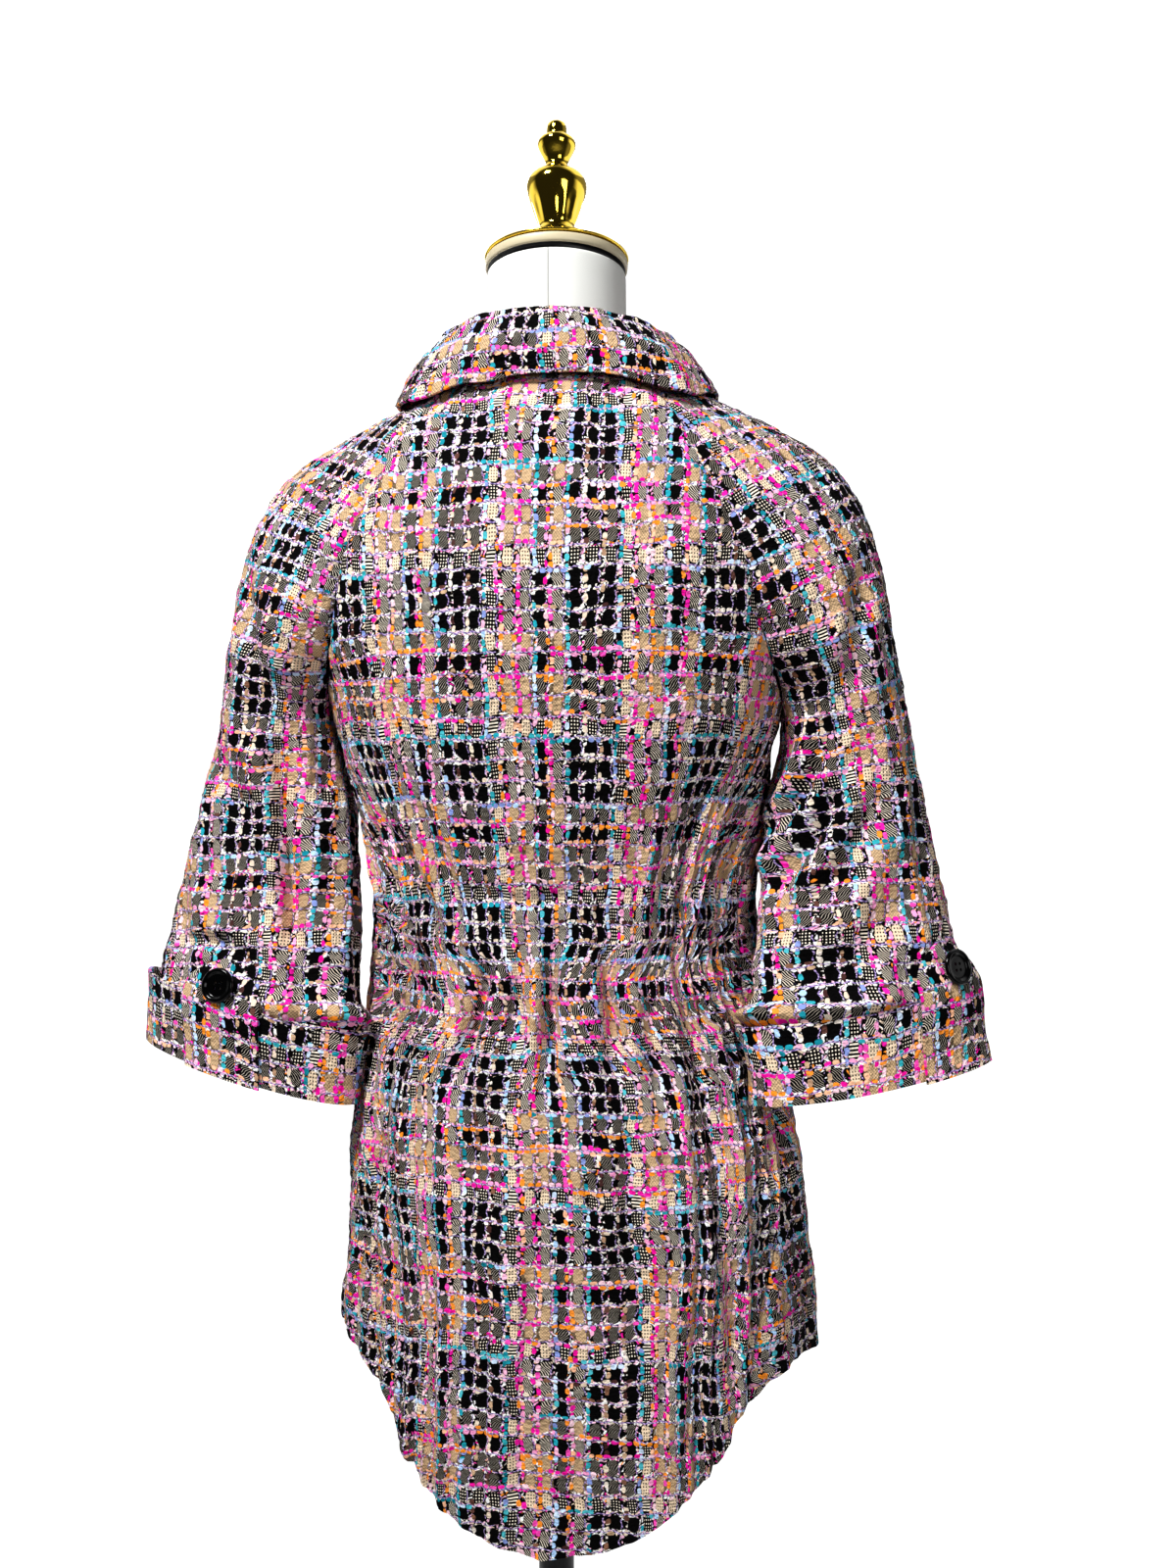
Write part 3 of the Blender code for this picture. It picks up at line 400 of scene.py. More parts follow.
def sleeve_grid(side, back):
    return np.array([sleeve_points(side, row, panel_places(side, row, back)) for row in SLEEVE_ROWS])


# %% Grids of points of all the panels
grids, spans = {}, {}
grids["back"], spans["back"] = body_grid(np.linspace(-1, 1, 149), back=True)
front_half, front_span = body_grid(np.linspace(1, 0, 74), back=False)
edge = np.linspace(0, BUTTON_STAND, 7)[None, 1:, None] * np.array([-1.0, 0.0, 0.0])
for side, sign in SIDES.items():
    grid = np.concatenate([front_half, front_half[:, -1:] + edge], axis=1)
    if side == "left":
        grid[..., 1] += smoothstep(0.060, 0.022, grid[..., 0]) * (CLOTH + 0.0012)
    else:
        grid[..., 0] = 2 * BODY.at("sway", grid[..., 2]) - grid[..., 0]
    past = front_span[:, -1:] - np.linspace(0, BUTTON_STAND, 7)[None, 1:]
    grids[f"front_{side}"] = grid
    spans[f"front_{side}"] = np.concatenate([front_span, past], axis=1) * sign
    for half in ("back", "front"):
        grids[f"sleeve_{half}_{side}"] = sleeve_grid(side, half == "back") * np.array([sign, 1.0, 1.0])
print("points in each panel:", {name: grid.shape[:2] for name, grid in grids.items()})

# %% [markdown]
# ## Folds
# The back is drawn in at the waist: most of the spare cloth is at its sides, where it lies in close upright
# creases, and three tucks open downwards from its middle. The sleeves fold at the elbow and sag over their
# cuffs. Each main fold is a line of its own, laid on the skin as a soft trough (negative) or ridge
# (positive) that fades at both ends.

# %% Spare cloth in the back: extra width at its sides and in its middle
GATHER = Table(
    "height side middle",
    (1.180, 0.00, 0.00),
    (1.090, 0.35, 0.05),
    (1.030, 1.10, 0.14),
    (0.985, 1.55, 0.22),
    (0.940, 1.35, 0.18),
    (0.880, 0.95, 0.08),
    (0.800, 0.85, 0.03),
    (0.700, 0.85, 0.00),
    (0.600, 0.65, 0.00),
)

# %% Fold lines: where each starts, bends and ends, its half width and its depth
FOLD_DEPTH = 1.35                            # every fold is this much deeper than its line says
SLEEVE_FOLD_DEPTH, SLEEVE_FOLD_BREADTH = 1.3, 1.4     # and those of the sleeves are deeper and broader still
# On the body a place is (across, height). On a sleeve it is (distance behind the outer line, row).
ROW_LENGTH = 0.058
FOLD_COLUMNS = "number a0 b0 a1 b1 a2 b2 width depth"
FOLDS = {
    "back": Table(
        FOLD_COLUMNS,
        (0, 0.034, 0.968, 0.041, 0.925, 0.060, 0.868, 0.0050, -0.0080),
        (1, -0.010, 0.975, -0.010, 0.930, -0.008, 0.872, 0.0048, -0.0085),
        (2, -0.044, 0.970, -0.050, 0.930, -0.056, 0.872, 0.0048, -0.0080),
        (3, 0.012, 0.962, 0.014, 0.935, 0.013, 0.900, 0.0045, -0.0040),
        (4, -0.074, 0.985, -0.078, 0.930, -0.088, 0.860, 0.0060, -0.0050),
        (5, 0.022, 0.955, 0.026, 0.920, 0.030, 0.850, 0.0100, 0.0040),
        (6, -0.028, 0.955, -0.030, 0.920, -0.032, 0.850, 0.0100, 0.0040),
        (7, 0.118, 1.055, 0.085, 1.005, 0.082, 0.958, 0.0060, -0.0060),
        (8, 0.132, 1.040, 0.100, 0.985, 0.103, 0.930, 0.0055, -0.0060),
        (9, 0.095, 1.075, 0.068, 1.020, 0.062, 0.975, 0.0070, -0.0040),
        (10, 0.082, 0.960, 0.090, 0.920, 0.108, 0.850, 0.0055, -0.0060),
        (11, -0.118, 1.075, -0.098, 1.010, -0.104, 0.930, 0.0055, -0.0060),
        (12, -0.100, 1.060, -0.086, 1.000, -0.090, 0.930, 0.0055, -0.0045),
        (13, -0.104, 0.930, -0.112, 0.880, -0.126, 0.800, 0.0060, -0.0055),
        (14, 0.060, 1.010, 0.010, 0.998, -0.040, 1.008, 0.0060, -0.0025),
        (15, 0.108, 0.850, 0.122, 0.780, 0.130, 0.690, 0.0070, -0.0050),
        (16, -0.120, 0.810, -0.132, 0.750, -0.135, 0.680, 0.0070, -0.0045),
        (17, 0.040, 0.860, 0.050, 0.780, 0.055, 0.690, 0.0120, -0.0030),
        (18, -0.060, 0.870, -0.068, 0.790, -0.070, 0.700, 0.0120, -0.0030),
    ),
    "front": Table(
        FOLD_COLUMNS,
        (0, 0.132, 1.090, 0.085, 1.060, 0.040, 1.065, 0.0080, -0.0045),
        (1, 0.120, 1.030, 0.075, 0.992, 0.030, 0.985, 0.0070, -0.0050),
        (2, 0.125, 0.985, 0.088, 0.935, 0.078, 0.860, 0.0065, -0.0050),
        (3, 0.050, 0.965, 0.056, 0.900, 0.050, 0.800, 0.0080, -0.0040),
        (4, 0.095, 0.860, 0.104, 0.790, 0.100, 0.710, 0.0090, -0.0045),
        (5, 0.028, 0.900, 0.034, 0.820, 0.030, 0.730, 0.0100, -0.0025),
        (6, 0.075, 1.150, 0.086, 1.090, 0.078, 1.030, 0.0110, 0.0030),
        (7, -0.130, 1.080, -0.090, 1.040, -0.045, 1.040, 0.0080, -0.0045),
        (8, -0.122, 1.020, -0.080, 0.975, -0.036, 0.960, 0.0070, -0.0050),
        (9, -0.130, 0.960, -0.098, 0.900, -0.090, 0.820, 0.0065, -0.0050),
        (10, -0.060, 0.985, -0.064, 0.920, -0.056, 0.830, 0.0080, -0.0040),
        (11, -0.110, 0.850, -0.112, 0.780, -0.104, 0.700, 0.0090, -0.0040),
        (12, -0.040, 0.880, -0.044, 0.800, -0.036, 0.720, 0.0100, -0.0025),
    ),
    "sleeve_left": Table(
        FOLD_COLUMNS,
        (0, 0.104, 7.2, 0.128, 8.8, 0.160, 10.9, 0.0055, -0.0090),
        (1, 0.142, 7.6, 0.162, 9.3, 0.178, 10.7, 0.0200, 0.0060),
        (2, 0.166, 7.1, 0.178, 8.6, 0.192, 10.5, 0.0050, -0.0040),
        (3, 0.040, 9.95, 0.075, 9.75, 0.112, 9.95, 0.0045, -0.0035),
        (4, 0.100, 10.2, 0.125, 10.45, 0.175, 10.55, 0.0100, 0.0045),
        (5, 0.112, 10.72, 0.145, 10.85, 0.190, 10.98, 0.0040, -0.0060),
        (6, 0.030, 7.4, 0.075, 7.9, 0.105, 8.7, 0.0080, -0.0030),
        (7, 0.010, 8.6, 0.030, 9.3, 0.035, 10.3, 0.0090, -0.0030),
        (8, 0.060, 4.9, 0.085, 6.0, 0.092, 7.2, 0.0080, -0.0035),
        (9, -0.145, 7.3, -0.118, 8.1, -0.070, 8.8, 0.0060, -0.0070),
        (10, -0.140, 8.3, -0.108, 9.0, -0.050, 9.6, 0.0065, -0.0070),
        (11, -0.128, 9.3, -0.090, 9.9, -0.035, 10.3, 0.0070, -0.0050),
        (12, -0.090, 5.0, -0.105, 6.2, -0.100, 7.3, 0.0080, -0.0035),
    ),
    "sleeve_right": Table(
        FOLD_COLUMNS,
        (0, 0.100, 7.0, 0.124, 7.85, 0.168, 8.5, 0.0055, -0.0085),
        (1, 0.086, 7.3, 0.117, 8.25, 0.164, 9.05, 0.0060, -0.0085),
        (2, 0.070, 7.8, 0.104, 8.7, 0.155, 9.5, 0.0070, -0.0055),
        (3, 0.112, 7.3, 0.140, 8.1, 0.165, 8.7, 0.0075, 0.0045),
        (4, 0.050, 8.6, 0.090, 9.5, 0.150, 10.1, 0.0100, -0.0035),
        (5, 0.030, 10.70, 0.100, 10.85, 0.175, 10.75, 0.0050, -0.0050),
        (6, 0.030, 10.35, 0.100, 10.45, 0.170, 10.35, 0.0110, 0.0035),
        (7, 0.012, 7.0, 0.030, 8.3, 0.030, 9.6, 0.0100, -0.0030),
        (8, 0.055, 4.8, 0.080, 5.9, 0.095, 7.0, 0.0080, -0.0035),
        (9, -0.145, 7.4, -0.110, 8.2, -0.060, 8.7, 0.0060, -0.0070),
        (10, -0.140, 8.2, -0.100, 9.1, -0.050, 9.4, 0.0065, -0.0065),
        (11, -0.125, 9.2, -0.095, 9.9, -0.030, 10.4, 0.0070, -0.0050),
        (12, -0.085, 4.8, -0.100, 6.0, -0.104, 7.2, 0.0080, -0.0035),
    ),
}


def fold_relief(across, along, table, unit_length=1.0, breadth=1.0):
    """How far these folds move each point out."""
    flat = np.stack([across, along * unit_length], axis=-1)
    total = np.zeros(flat.shape[:-1])
    share = np.linspace(0, 1, 13)[:, None]
    columns = table.columns
    for i in range(len(table.place)):
        ends = [np.array([columns[f"a{k}"][i], columns[f"b{k}"][i] * unit_length]) for k in range(3)]
        bend = 2 * ends[1] - (ends[0] + ends[2]) / 2
        line = (1 - share) ** 2 * ends[0] + 2 * share * (1 - share) * bend + share**2 * ends[2]
        nearest = np.full(flat.shape[:-1], 9.0)
        place = np.zeros(flat.shape[:-1])
        for k in range(12):
            step = line[k + 1] - line[k]
            f = np.clip(((flat - line[k]) @ step) / (step @ step), 0, 1)
            far = np.linalg.norm(flat - line[k] - f[..., None] * step, axis=-1)
            closer = far < nearest
            nearest = np.where(closer, far, nearest)
            place = np.where(closer, (k + f) / 12, place)
        width = breadth * columns["width"][i] * (0.8 + 0.9 * np.abs(place - 0.45))
        fade = np.sin(np.pi * np.clip(place, 0.02, 0.98)) ** 0.7
        off = nearest / width
        profile = np.exp(-(off**2)) - 0.30 * np.exp(-((off - 2.1) ** 2))
        total += FOLD_DEPTH * columns["depth"][i] * fade * profile
    return total


def ripple(points, wavelength, seed):
    """Smooth noise of about unit size: a few waves in random directions."""
    source = np.random.default_rng(seed)
    total = np.zeros(points.shape[:-1])
    for _ in range(9):
        direction = source.normal(size=3)
        direction /= np.linalg.norm(direction) * wavelength * source.uniform(0.7, 1.5)
        total += np.sin(2 * math.pi * (points @ direction) + source.uniform(0, 2 * math.pi))
    return total / 3.0


def creases(across, along, spacing, length, seed):
    """Uneven soft folds that run along the threads, with valleys sharper than the ridges between them."""
    source = np.random.default_rng(seed)
    total = np.zeros(across.shape)
    for _ in range(6):
        turns = across / spacing * source.uniform(0.5, 1.4) + along / length * source.uniform(-0.8, 0.8)
        bend = np.sin(2 * math.pi * (along / length * source.uniform(0.4, 1.0) + source.uniform()))
        total += np.sin(2 * math.pi * (turns + source.uniform()) + 1.2 * bend) / 2.4
    return 0.45 * total - 0.9 * np.exp(-((total / 0.45) ** 2)) + 0.3


SLEEVE_COMES_IN, BODY_COMES_OUT = 0.0105, 0.0085


def settle(points, sleeve=False):
    """The right sleeve hangs against the body: its inner side comes in, and the body's side comes out."""
    x, y, z = points[..., 0], points[..., 1], points[..., 2]
    if sleeve:
        move = SLEEVE_COMES_IN * smoothstep(-0.215, -0.165, x) * smoothstep(1.115, 1.050, z)
        move = move * (1 - 0.4 * smoothstep(0.93, 0.87, z))
    else:
        move = -BODY_COMES_OUT * smoothstep(-0.105, -0.140, x) * smoothstep(0.045, 0.005, y)
        move = move * smoothstep(-0.075, -0.045, y)
        move = move * smoothstep(1.115, 1.060, z) * smoothstep(0.845, 0.890, z)
    return points + np.stack([move, 0 * move, 0 * move], axis=-1)


# %% [markdown]
# ## From skin to cloth
# Each panel becomes a shell as thick as the cloth. Where two panels meet they use one normal, so their
# walls part along one face, and both dip a little there, as sewn cloth does.

# %% Normals, seams and walls
def grid_normals(grid, outward):
    normals = unit(np.cross(np.gradient(grid, axis=0), np.gradient(grid, axis=1)))
    return normals if (normals * outward).sum() > 0 else -normals


RIM = (np.s_[0, :], np.s_[-1, :], np.s_[1:-1, 0], np.s_[1:-1, -1])


def seam_key(point):
    return tuple(np.round(point * 20000).astype(int))


def share_normals(panels, normals):
    """Gives points that lie on two panels the mean of their normals, except across a sharp crease."""
    shared = {}
    for name, grid in panels.items():
        for part in RIM:
            for point, normal in zip(grid[part], normals[name][part]):
                shared.setdefault(seam_key(point), []).append(normal)
    joined = {}
    for name, grid in panels.items():
        joined[name] = normals[name].copy()
        for part in RIM:
            found = []
            for point, own in zip(grid[part], normals[name][part]):
                together = [normal for normal in shared[seam_key(point)] if normal @ own > -0.2]
                found.append(unit(np.sum(together, axis=0)))
            joined[name][part] = found
    return joined


def from_edges(grid):
    """Distance of each point from the first and from the last column, along its row."""
    steps = np.linalg.norm(np.diff(grid, axis=1), axis=2)
    run = np.concatenate([np.zeros((len(grid), 1)), np.cumsum(steps, axis=1)], axis=1)
    return run, run[:, -1:] - run


def shell(name, outer, normals, thickness, uv, material, closed=False):
    """A cloth shell: outer and inner faces, and a rim between them. A closed one runs round, as a cuff."""
    inner = outer - normals * thickness
    if not closed:
        for points in (outer, inner):
            for edge, beside in ((0, 1), (-1, -2)):
                points[:, edge] += unit(points[:, beside] - points[:, edge]) * SEAM_GAP / 2
                points[edge] += unit(points[beside] - points[edge]) * SEAM_GAP / 2
    rows, columns = outer.shape[:2]
    index = np.arange(rows * columns).reshape(rows, columns)
    under = index + rows * columns
    if closed:
        index, under = (np.concatenate([i, i[:, :1]], axis=1) for i in (index, under))
        next_uv = uv[:, :1] + (uv[:, -1:] - uv[:, -2:-1]) + (uv[:, -1:] - uv[:, :1])
        wide = np.concatenate([uv, next_uv], axis=1)
    else:
        wide = uv
    corner = index[:-1, :-1], index[:-1, 1:], index[1:, 1:], index[1:, :-1]
    faces = [np.stack([c.ravel() for c in corner], axis=1)]
    low_first, low_next, high_next, high_first = wide[:-1, :-1], wide[:-1, 1:], wide[1:, 1:], wide[1:, :-1]
    uvs = [np.stack([low_first, low_next, high_next, high_first], axis=2).reshape(-1, 4, 2)]
    corner = under[:-1, :-1], under[1:, :-1], under[1:, 1:], under[:-1, 1:]
    faces.append(np.stack([c.ravel() for c in corner], axis=1))
    uvs.append(np.stack([low_first, high_first, high_next, low_next], axis=2).reshape(-1, 4, 2))
    rims = [(np.s_[0, :], np.s_[1, :], False), (np.s_[-1, :], np.s_[-2, :], True)]
    if not closed:
        rims += [(np.s_[:, 0], np.s_[:, 1], True), (np.s_[:, -1], np.s_[:, -2], False)]
    for part, beside, turned in rims:
        a, b, w = index[part], under[part], wide[part]
        near = np.stack([w[:-1], w[1:], w[1:], w[:-1]], axis=1)
        if turned:
            faces.append(np.stack([a[:-1], a[1:], b[1:], b[:-1]], axis=1))
            uvs.append(near)
        else:
            faces.append(np.stack([a[:-1], b[:-1], b[1:], a[1:]], axis=1))
            uvs.append(near[:, [0, 3, 2, 1]])
    points = np.concatenate([outer.reshape(-1, 3), inner.reshape(-1, 3)])
    faces = np.concatenate(faces)
    uvs = np.concatenate(uvs)
    mesh = bpy.data.meshes.new(f"tweed_{name}")
    mesh.vertices.add(len(points))
    mesh.vertices.foreach_set("co", points.astype(np.float32).ravel())
    mesh.loops.add(faces.size)
    mesh.loops.foreach_set("vertex_index", faces.astype(np.int32).ravel())
    mesh.polygons.add(len(faces))
    mesh.polygons.foreach_set("loop_start", np.arange(0, faces.size, 4, dtype=np.int32))
    layer = mesh.uv_layers.new(name="cloth")
    layer.data.foreach_set("uv", uvs.astype(np.float32).ravel())
    mesh.update(calc_edges=True)
    body = bmesh.new()
    body.from_mesh(mesh)
    if body.calc_volume(signed=True) < 0:
        bmesh.ops.reverse_faces(body, faces=body.faces[:])
    body.to_mesh(mesh)
    body.free()
    mesh.shade_smooth()
    mesh.set_sharp_from_angle(angle=math.radians(55))
    mesh.materials.append(material)
    piece = bpy.data.objects.new(mesh.name, mesh)
    bpy.context.scene.collection.objects.link(piece)
    return piece


# %% [markdown]
# ## The lie of the weave
# The cloth is woven flat, so its threads follow the flat pattern and not the body. The body's panels are
# measured level from their centre and along each column. A sleeve turns over the shoulder, so each of its
# panels is flattened like a paper pattern: a net over it is let go in the plane until all its threads have
# their length again.

# %% Flat coordinates of the panels
BACK_SHIFT = 0.034        # where the repeat falls on the back
SLEEVE_ROWS_CLOSER = {"left": 1.08, "right": 1.05}
SLACK_TOP = 1.03          # the body's rows draw closer below this height
SLACK_START = 0.1         # and fully so this far below it
SLACK_SHARE = 0.17


def flatten(grid, places):
    """Lays a grid of points out flat, keeping the length of its edges and diagonals."""
    across = np.repeat(places[None, :], len(grid), axis=0) if places.ndim == 1 else places
    down = np.linalg.norm(np.diff(grid, axis=0), axis=2).mean(axis=1)
    height = -np.concatenate([[0], np.cumsum(down)])
    flat = np.stack([across, np.repeat(height[:, None], grid.shape[1], axis=1)], 2)
    links = [
        (np.s_[:-1, :], np.s_[1:, :]), (np.s_[:, :-1], np.s_[:, 1:]),
        (np.s_[:-1, :-1], np.s_[1:, 1:]), (np.s_[:-1, 1:], np.s_[1:, :-1]),
    ]
    rest = [np.linalg.norm(grid[a] - grid[b], axis=-1) for a, b in links]
    for _ in range(1500):
        push, count = np.zeros_like(flat), np.zeros(flat.shape[:2] + (1,))
        for (a, b), length in zip(links, rest):
            gap = flat[b] - flat[a]
            now = np.maximum(np.linalg.norm(gap, axis=-1), 1e-9)
            move = gap * (0.5 * (now - length) / now)[..., None]
            push[a] += move
            push[b] -= move
            count[a] += 1
            count[b] += 1
        flat = flat + 1.6 * push / count
    return flat


def spread(coarse, rows, columns, full_rows, full_columns):
    """Values of a coarse grid read at every row and column of the full one."""
    found = []
    for values in (coarse[..., 0], coarse[..., 1]):
        down = np.array([np.interp(full_rows, rows, column) for column in values.T])
        found.append([np.interp(full_columns, columns, row) for row in down.T])
    return np.array(found).transpose(1, 2, 0)


def sleeve_uv(side, half, grid):
    """Threads of a sleeve panel: up the arm, and across it as seen from outside."""
    rows = np.unique(np.linspace(0, grid.shape[0] - 1, 34).astype(int))
    columns = np.unique(np.linspace(0, grid.shape[1] - 1, 9).astype(int))
    places = np.array([panel_places(side, SLEEVE_ROWS[r], half == "back")[columns] for r in rows])
    flat = flatten(grid[np.ix_(rows, columns)], places)
    lower = rows > len(SEAM_ROWS)
    middle = flat[lower].mean(axis=1)
    length = unit(middle[0] - middle[-1])
    turn = np.array([[length[1], -length[0]], [length[0], length[1]]])
    flat = (flat - middle[-1]) @ turn.T
    flat = spread(flat, rows, columns, np.arange(grid.shape[0]), np.arange(grid.shape[1]))
    return flat * np.array([1.0 if side == "left" else -1.0, 1.0])


def body_uv(name, points, skin, across):
    """Threads of a body panel: across from its centre, with what its folds take up, and level with height."""
    middle = int(np.argmin(np.abs(spans[name][0])))
    extra = np.linalg.norm(np.diff(points, axis=1), axis=2) - np.linalg.norm(np.diff(skin, axis=1), axis=2)
    extra = np.concatenate([np.zeros((len(points), 1)), np.cumsum(extra, axis=1)], axis=1)
    extra = (extra - extra[:, middle : middle + 1]) * np.sign(spans[name][:, -1:] - spans[name][:, :1])
    column = skin[:, middle]
    rise = np.concatenate([[0.0], np.cumsum(np.linalg.norm(np.diff(column, axis=0), axis=1))])
    rise = rise - rise[ROWS_BELOW]
    height = skin[..., 2]
    rise = np.interp(height, column[:, 2], rise) + np.maximum(height - column[-1, 2], 0)
    across = (across + extra) * (-1.0 if name == "back" else 1.0) + (BACK_SHIFT if name == "back" else 0.0)
    return np.stack([across, rise], axis=-1)


def closer(name, uv, height):
    """The rows lie closer from the waist down and in the sleeves, where nothing draws the cloth tight."""
    uv = uv.copy()
    if name.startswith("sleeve"):
        uv[..., 1] *= SLEEVE_ROWS_CLOSER[name.split("_")[-1]]
    else:
        slack = np.maximum(SLACK_TOP - height, 0.0)
        start = slack**2 / (2 * SLACK_START)
        uv[..., 1] -= SLACK_SHARE * np.where(slack < SLACK_START, start, slack - SLACK_START / 2)
    return uv


def gathered(name, grid):
    """Distance of each point from the panel's centre along the cloth, and the spare cloth of the back."""
    span = spans[name]
    if name != "back":
        return span, np.zeros(span.shape)
    share = np.abs(np.linspace(-1, 1, span.shape[1]))[None, :]
    spare = GATHER.at("side", grid[..., 2]) * smoothstep(0.36, 0.72, share)
    spare = spare + GATHER.at("middle", grid[..., 2])
    steps = np.diff(span, axis=1) * (1 + (spare[:, 1:] + spare[:, :-1]) / 2)
    run = np.concatenate([np.zeros((len(span), 1)), np.cumsum(steps, axis=1)], axis=1)
    return run - run[:, span.shape[1] // 2][:, None], spare


# %% The panels' shape
def smooth_rows(grid, rows, centre, reach, rounds=60):
    """Takes the crease out of a sleeve where its rows begin to hang free. The seam's own points stay."""
    grid = grid.copy()
    off_seam = smoothstep(0.0, 0.030, from_edges(grid)[1])
    share = np.exp(-(((rows - centre) / reach) ** 2))[1:-1, None] * off_seam[1:-1]
    for _ in range(rounds):
        grid[1:-1] += 0.5 * share[..., None] * ((grid[:-2] + grid[2:]) / 2 - grid[1:-1])
    return grid


for name in grids:
    if name.startswith("sleeve"):
        grids[name] = smooth_rows(grids[name], SLEEVE_ROWS, UNDERARM_ROW, 0.9)

normals = {}
for name, grid in grids.items():
    if name.startswith("sleeve"):
        middle = grid.mean(axis=1, keepdims=True)
        other = grids[name.replace("back", "front") if "back" in name else name.replace("front", "back")]
        middle = (middle + other.mean(axis=1, keepdims=True)) / 2
        sign = SIDES[name.split("_")[-1]]
        middle[: len(SEAM_ROWS)] -= np.array([0.02 * sign, 0.0, 0.05])
        normals[name] = grid_normals(grid, grid - middle)
    else:
        normals[name] = grid_normals(grid, grid * np.array([1.0, 1.0, 0.0]))
normals = share_normals(grids, normals)


def grid_area(grid):
    """Area of a grid of points, flat or in space."""
    if grid.shape[-1] == 2:
        grid = np.concatenate([grid, np.zeros(grid.shape[:-1] + (1,))], axis=-1)
    one, two = grid[1:, 1:] - grid[:-1, :-1], grid[:-1, 1:] - grid[1:, :-1]
    return float(np.linalg.norm(np.cross(one, two), axis=-1).sum() / 2)


def flat_cut(uv):
    """Width, length and area of the flat piece that a grid of flat coordinates describes."""
    width, length = np.ptp(uv.reshape(-1, 2), axis=0)
    return float(width), float(length), grid_area(uv)


BAG_OUT = 0.0130                             # how far the sleeve bags out over its cuff
BAG_HEIGHT, BAG_REACH = 0.0080, 0.0075       # its middle above the cuff's edge, and how far it spreads


def height_over_cuff(grid):
    """Distance of each of a sleeve's points above the cuff's upper edge, down its column."""
    steps = np.linalg.norm(np.diff(grid, axis=0), axis=2)[::-1]
    above_hem = np.concatenate([np.zeros((1, grid.shape[1])), np.cumsum(steps, axis=0)])[::-1]
    return above_hem - CUFF_DEPTH


def bag_over_cuff(grid, places, side):
    """The sleeve bags a little over the cuff's upper edge, unevenly, and the tab holds it flat."""
    above_cuff = height_over_cuff(grid)
    behind_tab = places - TAB_PLACE[side] - 0.5 * TAB_WIDTH
    free = smoothstep(0.002, 0.020, behind_tab) + smoothstep(0.050, 0.080, -places)
    uneven = 0.85 + 0.20 * ripple(grid, 0.055, 8)
    return BAG_OUT * free * uneven * np.exp(-(((above_cuff - BAG_HEIGHT) / BAG_REACH) ** 2))


# %% Relief, folds and seams laid on each panel
RELIEF = ((0.0009, 0.075, 3), (0.0006, 0.030, 4), (0.00042, 0.0085, 5))     # height, wavelength and seed
SEAM_DIP, DIP_REACH = 0.0017, 0.0032         # how far the cloth dips at a seam, and how far from it
SIDE_CREASES, SKIRT_CREASES = 0.0034, 0.0028
LAP_RELIEF = 0.15                            # share of the relief that the flat lap keeps

shapes, weave_uv, cuts = {}, {}, {}
for name, grid in grids.items():
    first, last = from_edges(grid)
    inside = smoothstep(0.002, 0.014, first) * smoothstep(0.002, 0.014, last)
    relief = sum(height * ripple(grid, wavelength, seed) for height, wavelength, seed in RELIEF)
    if name.startswith("sleeve"):
        _, half, side = name.split("_")
        places = np.array([panel_places(side, row, half == "back") for row in SLEEVE_ROWS])
        rows = np.repeat(SLEEVE_ROWS[:, None], places.shape[1], axis=1)
        fold = fold_relief(places, rows, FOLDS[f"sleeve_{side}"], ROW_LENGTH, SLEEVE_FOLD_BREADTH)
        fold = SLEEVE_FOLD_DEPTH * fold
        loose = 0.0008 + 0.0016 * smoothstep(6.5, 8.5, rows)
        fold = fold + loose * creases(places, rows * ROW_LENGTH, 0.034, 0.22, 21 if side == "left" else 22)
        # A cuff holds the sleeve under it flat.
        free = smoothstep(-0.014, 0.004, height_over_cuff(grid))
        fold, relief = fold * free, relief * free + bag_over_cuff(grid, places, side)
    else:
        across, spare = gathered(name, grid)
        table = FOLDS["back" if name == "back" else "front"]
        # Folds fade out at the sides, where these places meet the cloth edge on.
        facing = np.clip(np.abs(normals[name][..., 1]) * 2.5, 0, 1)
        fold = fold_relief(grid[..., 0], grid[..., 2], table) * facing
        low = smoothstep(1.10, 0.90, grid[..., 2])
        fold = fold + SIDE_CREASES * np.clip(spare, 0, 1.4) * creases(across, grid[..., 2], 0.030, 0.20, 31)
        fold = fold + SKIRT_CREASES * low * creases(across, grid[..., 2], 0.060, 0.50, 32)
    dip = SEAM_DIP * (np.exp(-((first / DIP_REACH) ** 2)) + np.exp(-((last / DIP_REACH) ** 2)))
    if name.startswith("front"):
        # The buttoned lap stays flat, and its free edge isn't sewn.
        free = smoothstep(0.036, 0.075, np.abs(grid[..., 0]))
        fold, relief, dip = fold * free, relief * (LAP_RELIEF + (1 - LAP_RELIEF) * free), dip * free
    shapes[name] = grid + normals[name] * (relief + fold * inside - dip)[..., None]
    if name.startswith("sleeve"):
        weave_uv[name] = sleeve_uv(side, half, grid)
    else:
        weave_uv[name] = body_uv(name, shapes[name], grid, across)
    cuts[name] = flat_cut(weave_uv[name])
    weave_uv[name] = closer(name, weave_uv[name], grid[..., 2])
    if name == "back" or name.endswith("right"):
        shapes[name] = settle(shapes[name], name.startswith("sleeve"))
print("cut of each panel:", {name: [round(size, 3) for size in cut] for name, cut in cuts.items()})

# %% [markdown]
# ## The tweed
# The cloth repeats over eight columns and eight rows. Each crossing is a small block of fine ground weave:
# black on black is solid, tan on tan is solid, and the mixed ones show a fine twill. Between the blocks run
# the fancy yarns: a lavender cord every way, pale loops beside it, and thick slub yarns that change colour
# along their length. The chart below is the whole repeat, and the nodes read it from the cloth's own flat
# coordinates.

